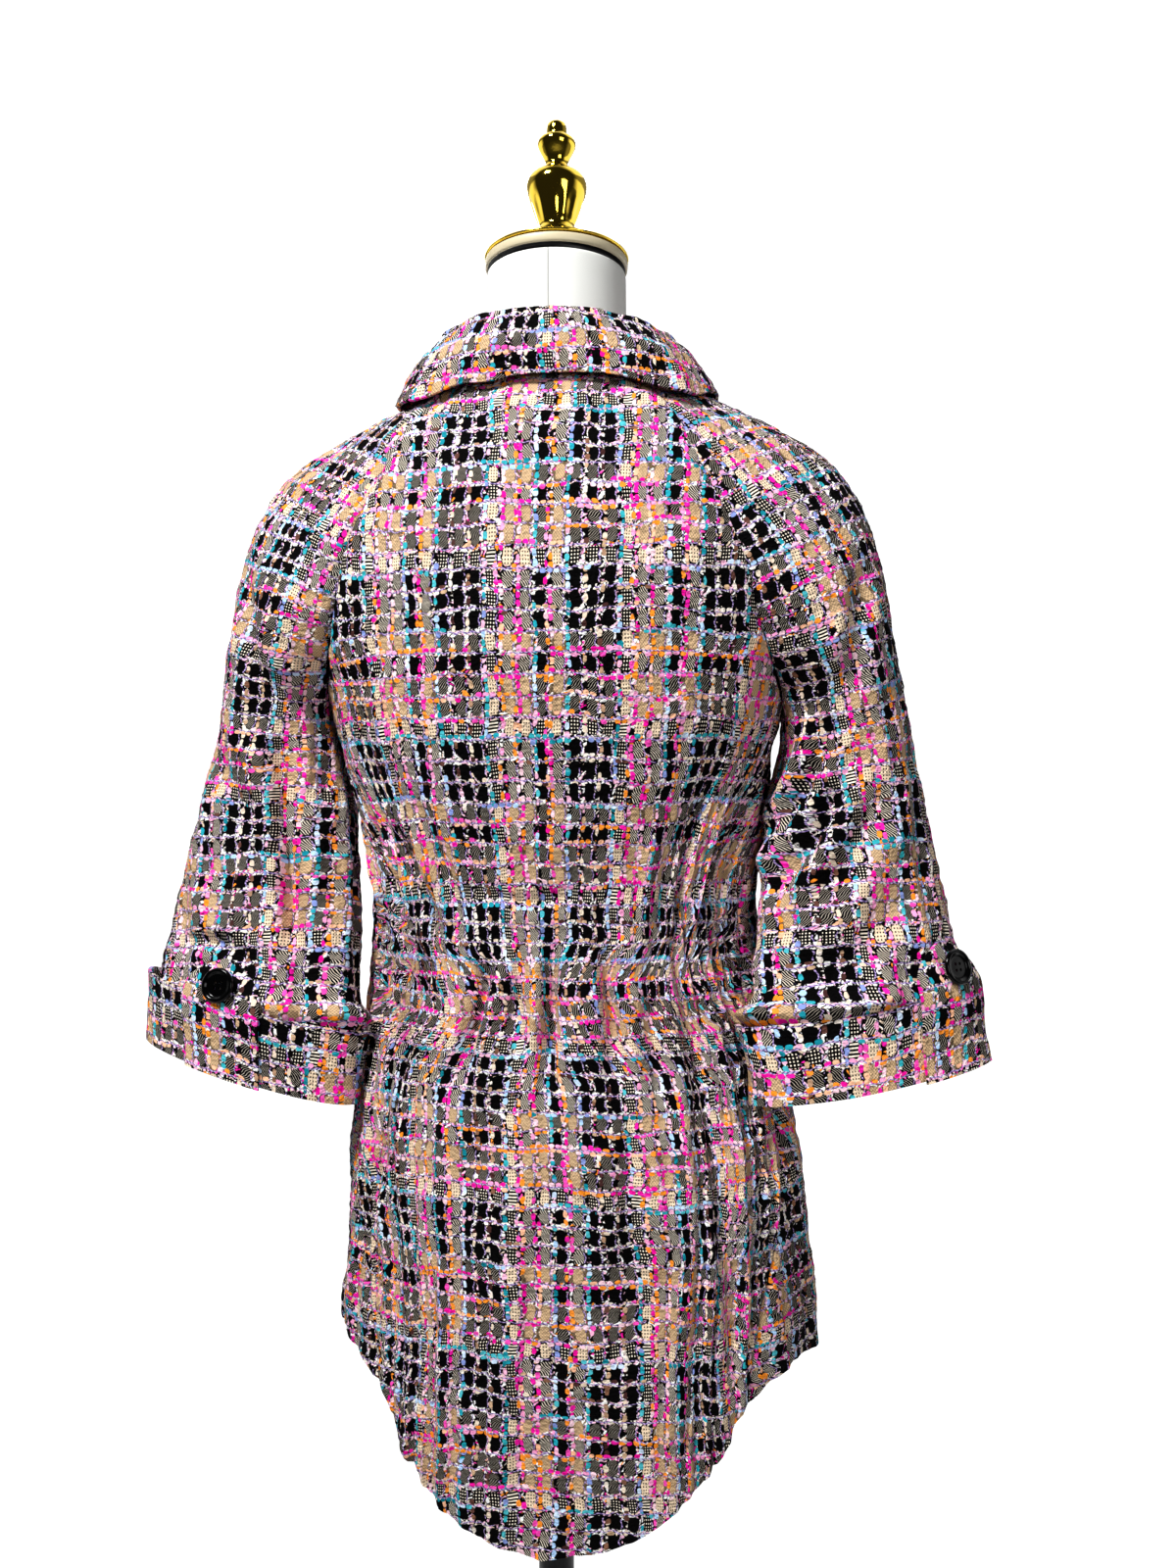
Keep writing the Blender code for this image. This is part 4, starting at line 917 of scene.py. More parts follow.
# %% A small calculator for nodes
class Value:
    """A number inside a node tree. Sums and products of values make Math nodes."""

    tree = None

    def __init__(self, socket):
        self.socket = socket

    def __add__(self, other):
        return calc("ADD", self, other)

    def __sub__(self, other):
        return calc("SUBTRACT", self, other)

    def __rsub__(self, other):
        return calc("SUBTRACT", other, self)

    def __mul__(self, other):
        return calc("MULTIPLY", self, other)

    __radd__, __rmul__ = __add__, __mul__

    def __lt__(self, other):
        return calc("LESS_THAN", self, other)

    def __gt__(self, other):
        return calc("GREATER_THAN", self, other)


def put(socket, value):
    """Links a value to a socket, or sets the socket to a plain number, colour or vector."""
    if isinstance(value, Value):
        Value.tree.links.new(value.socket, socket)
    else:
        socket.default_value = value


def make_node(kind, **inputs):
    node = Value.tree.nodes.new(kind)
    for name, value in inputs.items():
        put(node.inputs[name.replace("_", " ")], value)
    return node


def calc(operation, *values):
    node = Value.tree.nodes.new("ShaderNodeMath")
    node.operation = operation
    for socket, value in zip(node.inputs, values):
        put(socket, value)
    return Value(node.outputs[0])


def floor(x):
    return calc("FLOOR", x)


def wave(turns):
    """A sine wave of this many turns."""
    return calc("SINE", turns * (2 * math.pi))


def size(x):
    return calc("ABSOLUTE", x)


def soft_step(low, high, x):
    node = make_node("ShaderNodeMapRange", Value=x)
    node.interpolation_type = "SMOOTHSTEP"
    node.inputs["From Min"].default_value = low
    node.inputs["From Max"].default_value = high
    return Value(node.outputs["Result"])


def blend(share, a, b):
    """A colour between a and b."""
    node = Value.tree.nodes.new("ShaderNodeMix")
    node.data_type = "RGBA"
    for socket, value in ((node.inputs[0], share), (node.inputs[6], a), (node.inputs[7], b)):
        put(socket, value)
    return Value(node.outputs[2])


def chart(place, colours):
    """Steps through colours as place goes from 0 to 1. Returns the colour."""
    node = make_node("ShaderNodeValToRGB", Fac=place)
    ramp = node.color_ramp
    ramp.interpolation = "CONSTANT"
    while len(ramp.elements) < len(colours):
        ramp.elements.new(1.0)
    for i, colour in enumerate(colours):
        ramp.elements[i].position = i / len(colours)
    for element, colour in zip(ramp.elements, colours):
        element.color = (*colour, 1.0)
    return Value(node.outputs["Color"])


def parts(colour):
    node = Value.tree.nodes.new("ShaderNodeSeparateColor")
    put(node.inputs[0], colour)
    return [Value(output) for output in node.outputs]


def chance(*keys):
    """A steady random number from 0 to 1 for these whole-number keys."""
    vector = Value.tree.nodes.new("ShaderNodeCombineXYZ")
    for socket, value in zip(vector.inputs, keys):
        put(socket, value)
    node = Value.tree.nodes.new("ShaderNodeTexWhiteNoise")
    node.noise_dimensions = "3D"
    Value.tree.links.new(vector.outputs[0], node.inputs["Vector"])
    return Value(node.outputs["Value"]), Value(node.outputs["Color"])


def noise(vector, scale, detail=1.0):
    node = make_node("ShaderNodeTexNoise", Vector=vector, Scale=scale, Detail=detail, Roughness=0.5)
    return Value(node.outputs["Fac"]), Value(node.outputs["Color"])


def shade(text):
    """Linear colour of a hexadecimal sRGB one."""
    channels = [int(text[i : i + 2], 16) / 255 for i in (0, 2, 4)]
    return tuple(c / 12.92 if c <= 0.04045 else ((c + 0.055) / 1.055) ** 2.4 for c in channels)


# %% The chart of the repeat
COLUMN_PITCH, ROW_PITCH = 0.0115, 0.0145
GROUNDS = {"B": (1, 0, 0), "T": (0, 1, 0), "D": (0, 0, 1)}     # black, tan, dotted
COLUMN_CHART = "DTTBTBBB"
ROW_CHART = "TTBTBBBD"                                         # from the bottom up
# The slub beside each column and row, to its left or below it: hot, cool or mink colours.
SLUBS = {"H": (1, 0, 0), "C": (0, 1, 0), "M": (0, 0, 1)}
COLUMN_SLUBS = "CHHCHCMM"
ROW_SLUBS = "HHHHCMMC"
HOT = [shade(c) for c in ("F828B0", "FF9C3C", "FCA8D4", "F01CA0", "FFC4A0", "FA58BC", "FF9A34", "FFD8E4")]
COOL = [shade(c) for c in ("2CA6B8", "B8DAFF", "3CB0BC", "8FA0DC", "FBC0DC", "1E8C9C", "D4E8FF", "58C0CC")]
MINK = [shade(c) for c in ("4E3230", "D0B090", "F2E2CC", "6A4840", "B8957A", "F0DCC6", "FAF0E4", "8A6450")]
PALE = [shade(c) for c in ("FFFAF2", "E8D2BC", "FFFFFF", "FFFFFF", "FCC8E0", "FFF6EA", "FFFFFC", "FFD0E4")]
BLACK, TAN, IVORY = shade("0A090A"), shade("E4C29A"), shade("FFF4E2")
LAVENDER, DEEP_LAVENDER = shade("C4AEDA"), shade("6C5A94")


# %% The tweed's material
def scaled(colour, share):
    """A colour made lighter or darker."""
    node = Value.tree.nodes.new("ShaderNodeVectorMath")
    node.operation = "SCALE"
    put(node.inputs[0], colour)
    put(node.inputs["Scale"], share)
    return Value(node.outputs[0])


def charted(line, kinds, letters):
    """The three shares of the kind that the chart gives to this column or row."""
    place = calc("FRACT", line * (1 / len(letters)) + 0.5 / len(letters))
    return parts(chart(place, [kinds[letter] for letter in letters]))


def make_boucle():
    material = bpy.data.materials.new("boucle")
    material.use_nodes = True
    tree = Value.tree = material.node_tree
    shader = tree.nodes["Principled BSDF"]
    shader.inputs["Roughness"].default_value = 0.85
    shader.inputs["Specular IOR Level"].default_value = 0.05
    shader.inputs["Sheen Weight"].default_value = 0.0
    shader.inputs["Sheen Roughness"].default_value = 0.5
    source = tree.nodes.new("ShaderNodeUVMap")
    source.uv_map = "cloth"
    flat = Value(source.outputs["UV"])
    apart = tree.nodes.new("ShaderNodeSeparateXYZ")
    put(apart.inputs[0], flat)
    across, up = Value(apart.outputs[0]), Value(apart.outputs[1])

    # Handwoven cloth is never quite even: both counts drift a little, slowly and from thread to thread.
    _, slow_colour = noise(flat, 28.0, 0.0)
    _, fast_colour = noise(flat, 260.0, 0.0)
    drift_u, drift_v, _ = parts(slow_colour)
    jitter_u, jitter_v, _ = parts(fast_colour)
    even_u = across * (1 / COLUMN_PITCH) + (drift_u - 0.5) * 0.50
    even_v = up * (1 / ROW_PITCH) + (drift_v - 0.5) * 0.45
    u, v = even_u + (jitter_u - 0.5) * 0.11, even_v + (jitter_v - 0.5) * 0.10

    # Which block, and how far from the line between two blocks.
    column, row = floor(u), floor(v)
    line_u, line_v = floor(u + 0.5), floor(v + 0.5)
    side_u, side_v = u - line_u, v - line_v
    far_u, far_v = size(side_u), size(side_v)
    black_c, tan_c, dots_c = charted(column, GROUNDS, COLUMN_CHART)
    black_r, tan_r, dots_r = charted(row, GROUNDS, ROW_CHART)
    hot, cool, mink = charted(line_u, SLUBS, COLUMN_SLUBS)
    hot_r, cool_r, mink_r = charted(line_v, SLUBS, ROW_SLUBS)

    # The ground of each block: solid black, solid tan, a twill, or dots.
    tan_both, tan_one = tan_c * tan_r, tan_c * black_r + black_c * tan_r
    lean = tan_c * black_r - black_c * tan_r
    zigzag = even_u * 6.5 + even_v * 7.0 * lean + wave(even_v * 2.0) * 0.22 + (jitter_u - 0.5) * 0.4
    twill = soft_step(0.25, 0.85, wave(zigzag) - black_c * 0.35) * 0.88
    wave_u, wave_v = wave(even_u * 6.0), wave(even_v * 6.0)
    dots = soft_step(0.0, 0.5, wave_u) * soft_step(-0.1, 0.4, wave_v)
    pale_side = dots_c * tan_r + dots_r * tan_c
    both = dots_c * dots_r
    dotted = calc("MAXIMUM", dots_c, dots_r)
    tone_dots = size(pale_side - dots) * (1 - both) + both * soft_step(-0.1, 0.4, wave_v)
    tone = (tan_both * (wave_u * wave_v * 0.34 + 0.70) + tan_one * twill) * (1 - dotted) + tone_dots * dotted
    fibre, _ = noise(flat, 1400.0, 1.0)
    pale = blend(calc("MAXIMUM", tan_both, pale_side * 0.6), (*IVORY, 1), (*TAN, 1))
    ground = blend(tone, (*BLACK, 1), pale)

    def lay(under, mask, top, painted_shade_dome):
        """Lays a yarn over what is there. Its colour is darkened towards its edges, where it turns down:
        painted shade.
        """
        return blend(mask, under, scaled(top, soft_step(-0.45, 0.40, painted_shade_dome)))

    # Black gaps round each block, where the fancy yarns lie.
    out_u, out_v = (0.5 - far_u) * (1 / 0.305), (0.5 - far_v) * (1 / 0.405)
    gap = soft_step(0.75, 1.05, out_u * out_u * out_u + out_v * out_v * out_v)
    ground = blend(gap * (1 - tan_both * 0.3), ground, (*BLACK, 1))

    # Short bits of pale yarn, thick along the rows and at the corners of the blocks.
    spot_u, spot_v = u + (jitter_v - 0.5) * 0.5, v * 1.25 + (jitter_u - 0.5) * 0.5
    spot = make_node("ShaderNodeCombineXYZ", X=spot_u, Y=spot_v)
    cells = make_node("ShaderNodeTexVoronoi", Scale=5.6, Randomness=0.95)
    tree.links.new(spot.outputs[0], cells.inputs["Vector"])
    pick, shown, wide = parts(Value(cells.outputs["Color"]))
    near = soft_step(0.23, 0.11, far_v) * 0.76 + soft_step(0.23, 0.14, far_u) * 0.52
    bit = 1 - Value(cells.outputs["Distance"]) * (wide * 0.5 + 1.22)
    mask = soft_step(0.05, 0.15, bit) * (shown < near) * gap
    bright = calc("MAXIMUM", hot, hot_r) * (wide > 0.72)
    ground = lay(ground, mask, blend(bright, chart(pick, PALE), chart(pick, HOT)), bit * 1.6 - 0.3)

    # The upright lavender cord shows in the middle of each block's side.
    sway = (side_u + 0.15 - wave(v * 1.7) * 0.05) * 25.0
    cord = 1 - sway * sway
    mask = soft_step(0.0, 0.3, cord) * soft_step(0.20, 0.28, far_v) * (jitter_v > 0.36)
    twist = soft_step(-0.5, 0.5, wave(v * 7.0 + u * 4.0))
    ground = lay(ground, mask, blend(twist, (*DEEP_LAVENDER, 1), (*LAVENDER, 1)), cord)

    def slub(under, along, off, line, key, counts, colours, half, amount):
        """Thick beads along one side of a line of the chart. Their colour changes every few beads."""
        bead = along * counts[0] + line * 0.31
        run, _ = chance(line, floor(bead * counts[1]), key)
        own, own_parts = chance(line, floor(bead), key + 2.0)
        own_wide, own_place, own_pick = parts(own_parts)
        pick = calc("FRACT", run + (own_pick > 0.8) * 0.37)
        colour = blend(colours[1], blend(colours[2], chart(pick, HOT), chart(pick, MINK)), chart(pick, COOL))
        aside = size(off + (own_place - 0.5) * half * 0.4)
        across = aside * calc("DIVIDE", 1.0, own_wide * half * 0.5 + half * 0.75)
        beat = size(calc("FRACT", bead) - 0.5) * 2.3
        swell = 1 - calc("POWER", across, 2.4) - calc("POWER", beat, 2.8)
        mask = soft_step(0.02, 0.2, swell) * (own < amount)
        streak = wave(along * (counts[0] * 3.0) + off * 14.0) * 0.10 + 0.98
        return lay(under, mask, scaled(colour, streak), swell)

    # Upright slubs on both sides of each upright line, then level ones above and below each level line.
    right = side_u > -0.02
    off = side_u + 0.17 - right * 0.27
    amount = right * (0.74 - mink * 0.24) + (1 - right) * hot * 0.34
    ground = slub(ground, v, off, line_u + right * 0.5, 11.0, (2.4, 0.45), (hot, cool, mink), 0.16, amount)
    above = side_v > 0.0
    off = side_v + 0.125 - above * 0.25
    stretch, _ = chance(floor(u * 0.31 + line_v * 0.43), line_v + above * 0.5, 31.0)
    amount = (stretch > 0.58) * (0.74 - mink_r * 0.45)
    colours = (hot_r, cool_r, mink_r)
    ground = slub(ground, u, off, line_v + above * 0.5, 17.0, (2.3, 0.5), colours, 0.12, amount)

    # The level lavender cord lies over all the rest.
    sway = (side_v - wave(u * 1.3) * 0.025 - (jitter_u - 0.5) * 0.12) * 28.0
    cord = 1 - sway * sway
    twist = soft_step(-0.7, 0.5, wave(u * 4.0 + v * 5.0))
    mask = soft_step(0.0, 0.3, cord) * soft_step(0.30, 0.36, jitter_v)
    ground = lay(ground, mask, blend(twist, (*DEEP_LAVENDER, 1), (*LAVENDER, 1)), cord + 0.2)

    # Fibre: the colour varies a little along every thread.
    tree.links.new(scaled(ground, fibre * 0.5 + 0.78).socket, shader.inputs["Base Color"])

    # The relief needs only the main forms: blocks lie low, and cords and slubs stand up between them.
    plain_u, plain_v = across * (1 / COLUMN_PITCH), up * (1 / ROW_PITCH)
    loops, _ = noise(flat, 420.0, 1.0)
    ridges = calc("ABSOLUTE", wave(plain_u * 0.5 + 0.25)) + calc("ABSOLUTE", wave(plain_v * 0.5 + 0.25))
    bump = make_node("ShaderNodeBump", Height=ridges * 0.25 + loops * 1.4)
    bump.inputs["Strength"].default_value = 0.8
    bump.inputs["Distance"].default_value = 0.0015
    tree.links.new(bump.outputs[0], shader.inputs["Normal"])
    print("tweed nodes:", len(tree.nodes))
    return material


boucle = make_boucle()

# %% [markdown]
# ## The panels
# Seven panels make the jacket's body and sleeves. Each is closed into a shell of one thickness, rims and
# all, and takes its normals afresh from its folded shape, so that the inner face follows the outer one.

# %% Back, fronts and sleeves
made = {}
for name, shape in shapes.items():
    normal = share_normals({name: shape}, {name: grid_normals(shape, normals[name])})[name]
    blend_edge = np.ones(shape.shape[:2] + (1,))
    for part in RIM:
        blend_edge[part] = 0.0
    normal = unit(normals[name] * (1 - blend_edge) + normal * blend_edge)
    made[name] = shell(name, shape, normal, CLOTH, weave_uv[name], boucle)
print("triangles:", {name: 2 * len(piece.data.polygons) for name, piece in made.items()})

# %% [markdown]
# ## Collar
# A small shirt collar in one piece: it stands up round the neck, rolls over and falls on the shoulders. The
# roll is uneven, as soft cloth is, and the fall lies a little off the shoulders so that its edge throws a
# shadow.

# %% Collar
def neckline():
    """The top edge of the skin as (angle from the centre of the back, radius, height), on the left."""
    back, front = grids["back"][-1], front_half[-1]
    behind, before = (sleeve_half("left", 0.0, half_is_back, 9) for half_is_back in (True, False))
    line = np.concatenate([back[back[:, 0] > 0], behind[::-1], before, front[::-1]])
    angle = np.degrees(np.arctan2(line[:, 0], line[:, 1]))
    order = np.argsort(angle)
    return angle[order], np.hypot(line[:, 0], line[:, 1])[order], line[order, 2]


def collar_section(angle, neck):
    """Middle line of the collar at an angle: up the stand, over the roll, down the fall."""
    turn = math.radians(abs(angle))
    sign = math.copysign(1, angle)
    out = np.array([math.sin(turn), math.cos(turn), 0.0])
    up = np.array([0.0, 0.0, 1.0])
    radius = np.interp(abs(angle), neck[0], neck[1]) - CLOTH / 2
    foot = out * radius + up * (np.interp(abs(angle), neck[0], neck[2]) + COLLAR_LIFT)
    top = foot + out * COLLAR.at("fold_out", abs(angle)) + up * (COLLAR.at("stand", abs(angle)) - COLLAR_FOLD)
    edge = np.array([COLLAR.at(name, abs(angle)) for name in ("edge_x", "edge_y", "edge_z")])
    points = list(foot + (top - foot) * np.linspace(0, 1, 11)[:-1, None])
    for roll in np.radians(np.linspace(0, 180, 9)):
        points.append(top + COLLAR_FOLD * (out * (1 - math.cos(roll)) + up * math.sin(roll)))
    start = points[-1]
    for f in np.linspace(0, 1, 20)[1:]:
        points.append(start + (edge - start) * f + (out * 0.004 + up * 0.001) * math.sin(math.pi * f))
    return np.array(points) * np.array([sign, 1.0, 1.0])


LET_DOWN = Table(
    "angle gap",
    (0, 0.0062),
    (60, 0.0056),
    (90, 0.0030),
    (130, 0.0050),
    (COLLAR_END, 0.0060),
)
EVENED, FALL_START = 13, 18     # sections that the letting down is evened over, and the fall's first point


def let_down(grid, angles):
    """Lets the fall down until its lower edge lies near the back, the shoulders and the fronts."""
    points = np.concatenate([shape.reshape(-1, 3) for shape in shapes.values()])
    tree = KDTree(len(points))
    for index, point in enumerate(points):
        tree.insert(point, index)
    tree.balance()
    gap = np.interp(np.abs(angles), LET_DOWN.place, LET_DOWN.columns["gap"])
    shift = np.zeros((len(grid), 3))
    for row, (edge, wanted) in enumerate(zip(grid[:, -1], gap)):
        nearest, _, distance = tree.find(edge)
        shift[row] = (np.array(nearest) - edge) * max(0.0, 1 - wanted / distance)
    kernel = np.hanning(EVENED) / np.hanning(EVENED).sum()
    padded = np.pad(shift, ((EVENED // 2, EVENED // 2), (0, 0)), mode="edge")
    shift = np.stack([np.convolve(padded[:, axis], kernel, "valid") for axis in range(3)], axis=-1)
    fall = np.clip((np.arange(grid.shape[1]) - FALL_START) / (grid.shape[1] - 1 - FALL_START), 0, 1) ** 1.2
    print("collar's edge let down by up to", round(1000 * np.linalg.norm(shift, axis=1).max(), 1), "mm")
    return grid + shift[:, None] * fall[None, :, None]


neck = neckline()
angles = np.linspace(-COLLAR_END, COLLAR_END, 191)
collar_grid = np.array([collar_section(angle, neck) for angle in angles])
collar_grid = let_down(collar_grid, angles)
collar_normal = unit(np.cross(np.gradient(collar_grid, axis=1), np.gradient(collar_grid, axis=0)))
lengths = np.linalg.norm(np.diff(collar_grid, axis=1), axis=2)
upward = np.concatenate([np.zeros((len(angles), 1)), np.cumsum(lengths, axis=1)], axis=1)
around = lengths_along(collar_grid[:, 30])
around = around - around[len(around) // 2]
collar_uv = np.stack([np.repeat(-around[:, None], collar_grid.shape[1], axis=1), -upward], axis=-1)
bumps = 0.0009 * ripple(collar_grid, 0.03, 8) + 0.0004 * ripple(collar_grid, 0.0085, 9)
widest = np.linalg.norm(np.diff(collar_grid, axis=0), axis=2).sum(axis=0).max()
cuts["collar"] = (float(widest), float(upward.max()), grid_area(collar_grid))
collar_outer = collar_grid + collar_normal * (CLOTH / 2 + bumps[..., None])
made["collar"] = shell("collar", collar_outer, collar_normal, CLOTH, collar_uv, boucle)

# %% [markdown]
# ## Cuffs and tabs
# The end of each sleeve is turned up on the outside. A tab with a round end comes up from the hem over the
# cuff, and a button holds it. Both are laid on the sleeve's own surface and moved out from it.

# %% The sleeve's surface near its hem
@functools.lru_cache(maxsize=None)
def fall_lines(side):
    """A fine net of the left-hand sleeve's lower part: its points, and their distances up from the hem."""
    rows, shares = np.linspace(UNDERARM_ROW, HEM_ROW, 41), np.linspace(-1, 1, 121)
    net = []
    for row in rows:
        back_girth, front_girth = half_girths(side, round(float(row), 6))
        net.append(sleeve_points(side, row, np.where(shares > 0, shares * back_girth, shares * front_girth)))
    net = np.array(net)[::-1]
    steps = np.linalg.norm(np.diff(net, axis=0), axis=2)
    return shares, net, np.concatenate([np.zeros((1, len(shares))), np.cumsum(steps, axis=0)])


def hem_shares(side, places):
    back_girth, front_girth = half_girths(side, float(HEM_ROW))
    return np.where(places > 0, places / back_girth, places / front_girth)


def sleeve_spot(side, distance, share):
    """Point of the left-hand sleeve on one line, at a distance up from the hem. It goes on below the hem."""
    shares, net, above = fall_lines(side)
    column = np.clip((share + 1) / 2 * (len(shares) - 1), 0, len(shares) - 1.001)
    first, f = int(column), column - int(column)
    found = []
    for c in (first, first + 1):
        spot = np.array([np.interp(distance, above[:, c], net[:, c, axis]) for axis in range(3)])
        found.append(spot + min(distance, 0.0) * unit(net[1, c] - net[0, c]))
    return found[0] * (1 - f) + found[1] * f


def sleeve_frame(side, distance, shares):
    """Points and outward normals of the left-hand sleeve at a distance above its hem."""
    spots, facing = [], []
    for share in np.atleast_1d(shares):
        spot = sleeve_spot(side, distance, share)
        beside = sleeve_spot(side, distance, share + 0.02) - sleeve_spot(side, distance, share - 0.02)
        up = sleeve_spot(side, distance + 0.004, share) - spot
        spots.append(spot)
        facing.append(unit(np.cross(beside, up)))
    return np.array(spots), np.array(facing)


# %% Cuffs and tabs
CUFF = Table(
    "distance stand_off",
    (-CUFF_DROP, 0.0007),
    (0.012, 0.0012),
    (0.030, 0.0032),
    (CUFF_DEPTH, 0.0072),
)
TAB_DROP = 0.0035         # the tab's lower end below the sleeve's hem
CUFF_SHIFT, CUFF_RISE, TAB_SHIFT = 0.031, 0.02, 0.055     # where the repeat falls on the cuffs and the tabs


def make_cuff(side):
    mirror = np.array([SIDES[side], 1.0, 1.0])
    girth = half_girths(side, float(HEM_ROW))
    places = np.linspace(-girth[1], girth[0], 131)[:-1]
    outer, facing, uv = [], [], []
    for distance in np.linspace(-CUFF_DROP, CUFF_DEPTH, 19):
        ring, normal = sleeve_frame(side, distance, hem_shares(side, places))
        stand_off = float(CUFF.at("stand_off", distance)) + SEAM_GAP
        outer.append((ring + normal * (stand_off + CLOTH)) * mirror)
        facing.append(normal * mirror)
        along = places * SIDES[side] + CUFF_SHIFT
        uv.append(np.stack([along, np.full(len(places), CUFF_RISE - distance)], axis=-1))
    outer, facing = np.array(outer), np.array(facing)
    if side == "right":
        outer = settle(outer, sleeve=True)
    ring = np.concatenate([outer, outer[:, :1]], axis=1)
    widest = np.linalg.norm(np.diff(ring, axis=1), axis=2).sum(axis=1).max()
    cuts[f"cuff_{side}"] = (float(widest), CUFF_DEPTH + CUFF_DROP, grid_area(ring))
    bumps = 0.0003 * (ripple(outer, 0.03, 11) + 1) + 0.00018 * ripple(outer, 0.0075, 12)
    outer = outer + facing * bumps[..., None]
    return shell(f"cuff_{side}", outer, facing, CLOTH, np.array(uv), boucle, closed=True)


def tab_half_width(side, distance):
    """Half the tab's width: straight, then a rounded end."""
    end = TAB_LENGTH[side] - 0.5 * TAB_WIDTH
    rounding = np.clip((distance - end) / (0.5 * TAB_WIDTH), 0, 1)
    return 0.5 * TAB_WIDTH * (1 - 0.90 * rounding**2.4)


def tab_lift(side, distance):
    """Height of the tab's inner face over the sleeve: over the cuff, then down onto the sleeve."""
    over_cuff = 0.0030 + 0.0062 * smoothstep(0.010, CUFF_DEPTH, distance)
    return 0.0012 + over_cuff * (1 - smoothstep(CUFF_DEPTH, TAB_LENGTH[side], distance))


def tab_row(side, distance, across):
    spot, normal = sleeve_frame(side, distance, hem_shares(side, TAB_PLACE[side] + across))
    return spot + normal * tab_lift(side, distance), normal


def make_tab(side):
    mirror = np.array([SIDES[side], 1.0, 1.0])
    outer, facing, uv = [], [], []
    straight = TAB_LENGTH[side] - 0.5 * TAB_WIDTH
    upper = straight + 0.5 * TAB_WIDTH * np.sin(np.linspace(0, math.pi / 2, 14))
    for distance in np.concatenate([np.linspace(-TAB_DROP, straight, 20)[:-1], upper]):
        half = tab_half_width(side, distance)
        across = np.linspace(-half, half, 23)
        face, normal = tab_row(side, distance, across)
        outer.append((face + normal * CLOTH) * mirror)
        facing.append(normal * mirror)
        uv.append(np.stack([across * SIDES[side] + TAB_SHIFT, np.full(len(across), distance)], axis=-1))
    outer, facing = np.array(outer), np.array(facing)
    cuts[f"tab_{side}"] = flat_cut(np.array(uv))
    bumps = 0.0002 * (ripple(outer, 0.02, 13) + 1) + 0.00015 * ripple(outer, 0.0075, 14)
    return shell(f"tab_{side}", outer + facing * bumps[..., None], facing, CLOTH, np.array(uv), boucle)


for side in SIDES:
    made[f"cuff_{side}"] = make_cuff(side)
    made[f"tab_{side}"] = make_tab(side)

# %% [markdown]
# ## The form, its stand and the buttons
# All of these are turned: a circle is drawn up ring by ring, made wider or narrower at each step, and
# rounded by a subdivision surface. The torso is drawn up the same way with its rings squeezed front to
# back, as one closed surface, because a dress form is one piece under its calico. The finial's lower bulb
# is fluted like a bud.

# %% Turning
FORM = Table(
    "height half_width back front",
    (1.4662, 0.0531, 0.0531, 0.0531),
    (1.4400, 0.0533, 0.0533, 0.0533),
    (1.4200, 0.0535, 0.0535, 0.0535),
    (1.4060, 0.0537, 0.0537, 0.0537),
    (1.3980, 0.0545, 0.0537, 0.0538),
    (1.3855, 0.0635, 0.0537, 0.0545),
    (1.3745, 0.0815, 0.0565, 0.0575),
    (1.3600, 0.1140, 0.0630, 0.0630),
    (1.3380, 0.1440, 0.0730, 0.0730),
    (1.3000, 0.1665, 0.0870, 0.0870),
    (1.2500, 0.1690, 0.0960, 0.0980),
    (1.1900, 0.1590, 0.0970, 0.1090),
    (1.1250, 0.1490, 0.0920, 0.1150),
    (1.0600, 0.1320, 0.0810, 0.1040),
    (0.9750, 0.1170, 0.0690, 0.0830),
    (0.9000, 0.1320, 0.0830, 0.0890),
    (0.8200, 0.1470, 0.0980, 0.0970),
    (0.7600, 0.1500, 0.1030, 0.0990),
    (0.7180, 0.1490, 0.1020, 0.0980),
)


def draw_up(name, rings, segments):
    """Draws a circle up through rings of (height, half width, half depth, shift in y). Both ends close."""
    bpy.ops.object.select_all(action="DESELECT")
    bpy.ops.mesh.primitive_circle_add(vertices=segments, radius=1.0, fill_type="NGON", enter_editmode=True)
    piece = bpy.context.object
    height, wide, deep, shift = rings[0]
    bpy.ops.transform.resize(value=(wide, deep, 1.0), center_override=(0, 0, 0))
    bpy.ops.transform.translate(value=(0, shift, height))
    for next_height, next_wide, next_deep, next_shift in rings[1:]:
        step = (0, next_shift - shift, next_height - height)
        bpy.ops.mesh.extrude_region_move(TRANSFORM_OT_translate={"value": step})
        centre = (0, next_shift, next_height)
        bpy.ops.transform.resize(value=(next_wide / wide, next_deep / deep, 1.0), center_override=centre)
        height, wide, deep, shift = next_height, next_wide, next_deep, next_shift
    bpy.ops.mesh.select_all(action="SELECT")
    bpy.ops.mesh.normals_make_consistent(inside=False)
    bpy.ops.object.mode_set(mode="OBJECT")
    piece.name = piece.data.name = name
    return piece


def lathe(name, profile, foot=0.0, segments=24):
    return draw_up(name, [(foot + height, radius, radius, 0.0) for height, radius in profile], segments)


def rounded(piece, levels=2):
    """Rounds a piece with a subdivision surface, and applies it."""
    modifier = piece.modifiers.new("rounding", "SUBSURF")
    modifier.levels = levels
    bpy.ops.object.select_all(action="DESELECT")
    piece.select_set(True)
    bpy.context.view_layer.objects.active = piece
    bpy.ops.object.modifier_apply(modifier="rounding")
    bpy.ops.object.shade_smooth()
    print(piece.name, len(piece.data.polygons), "faces")
    return piece


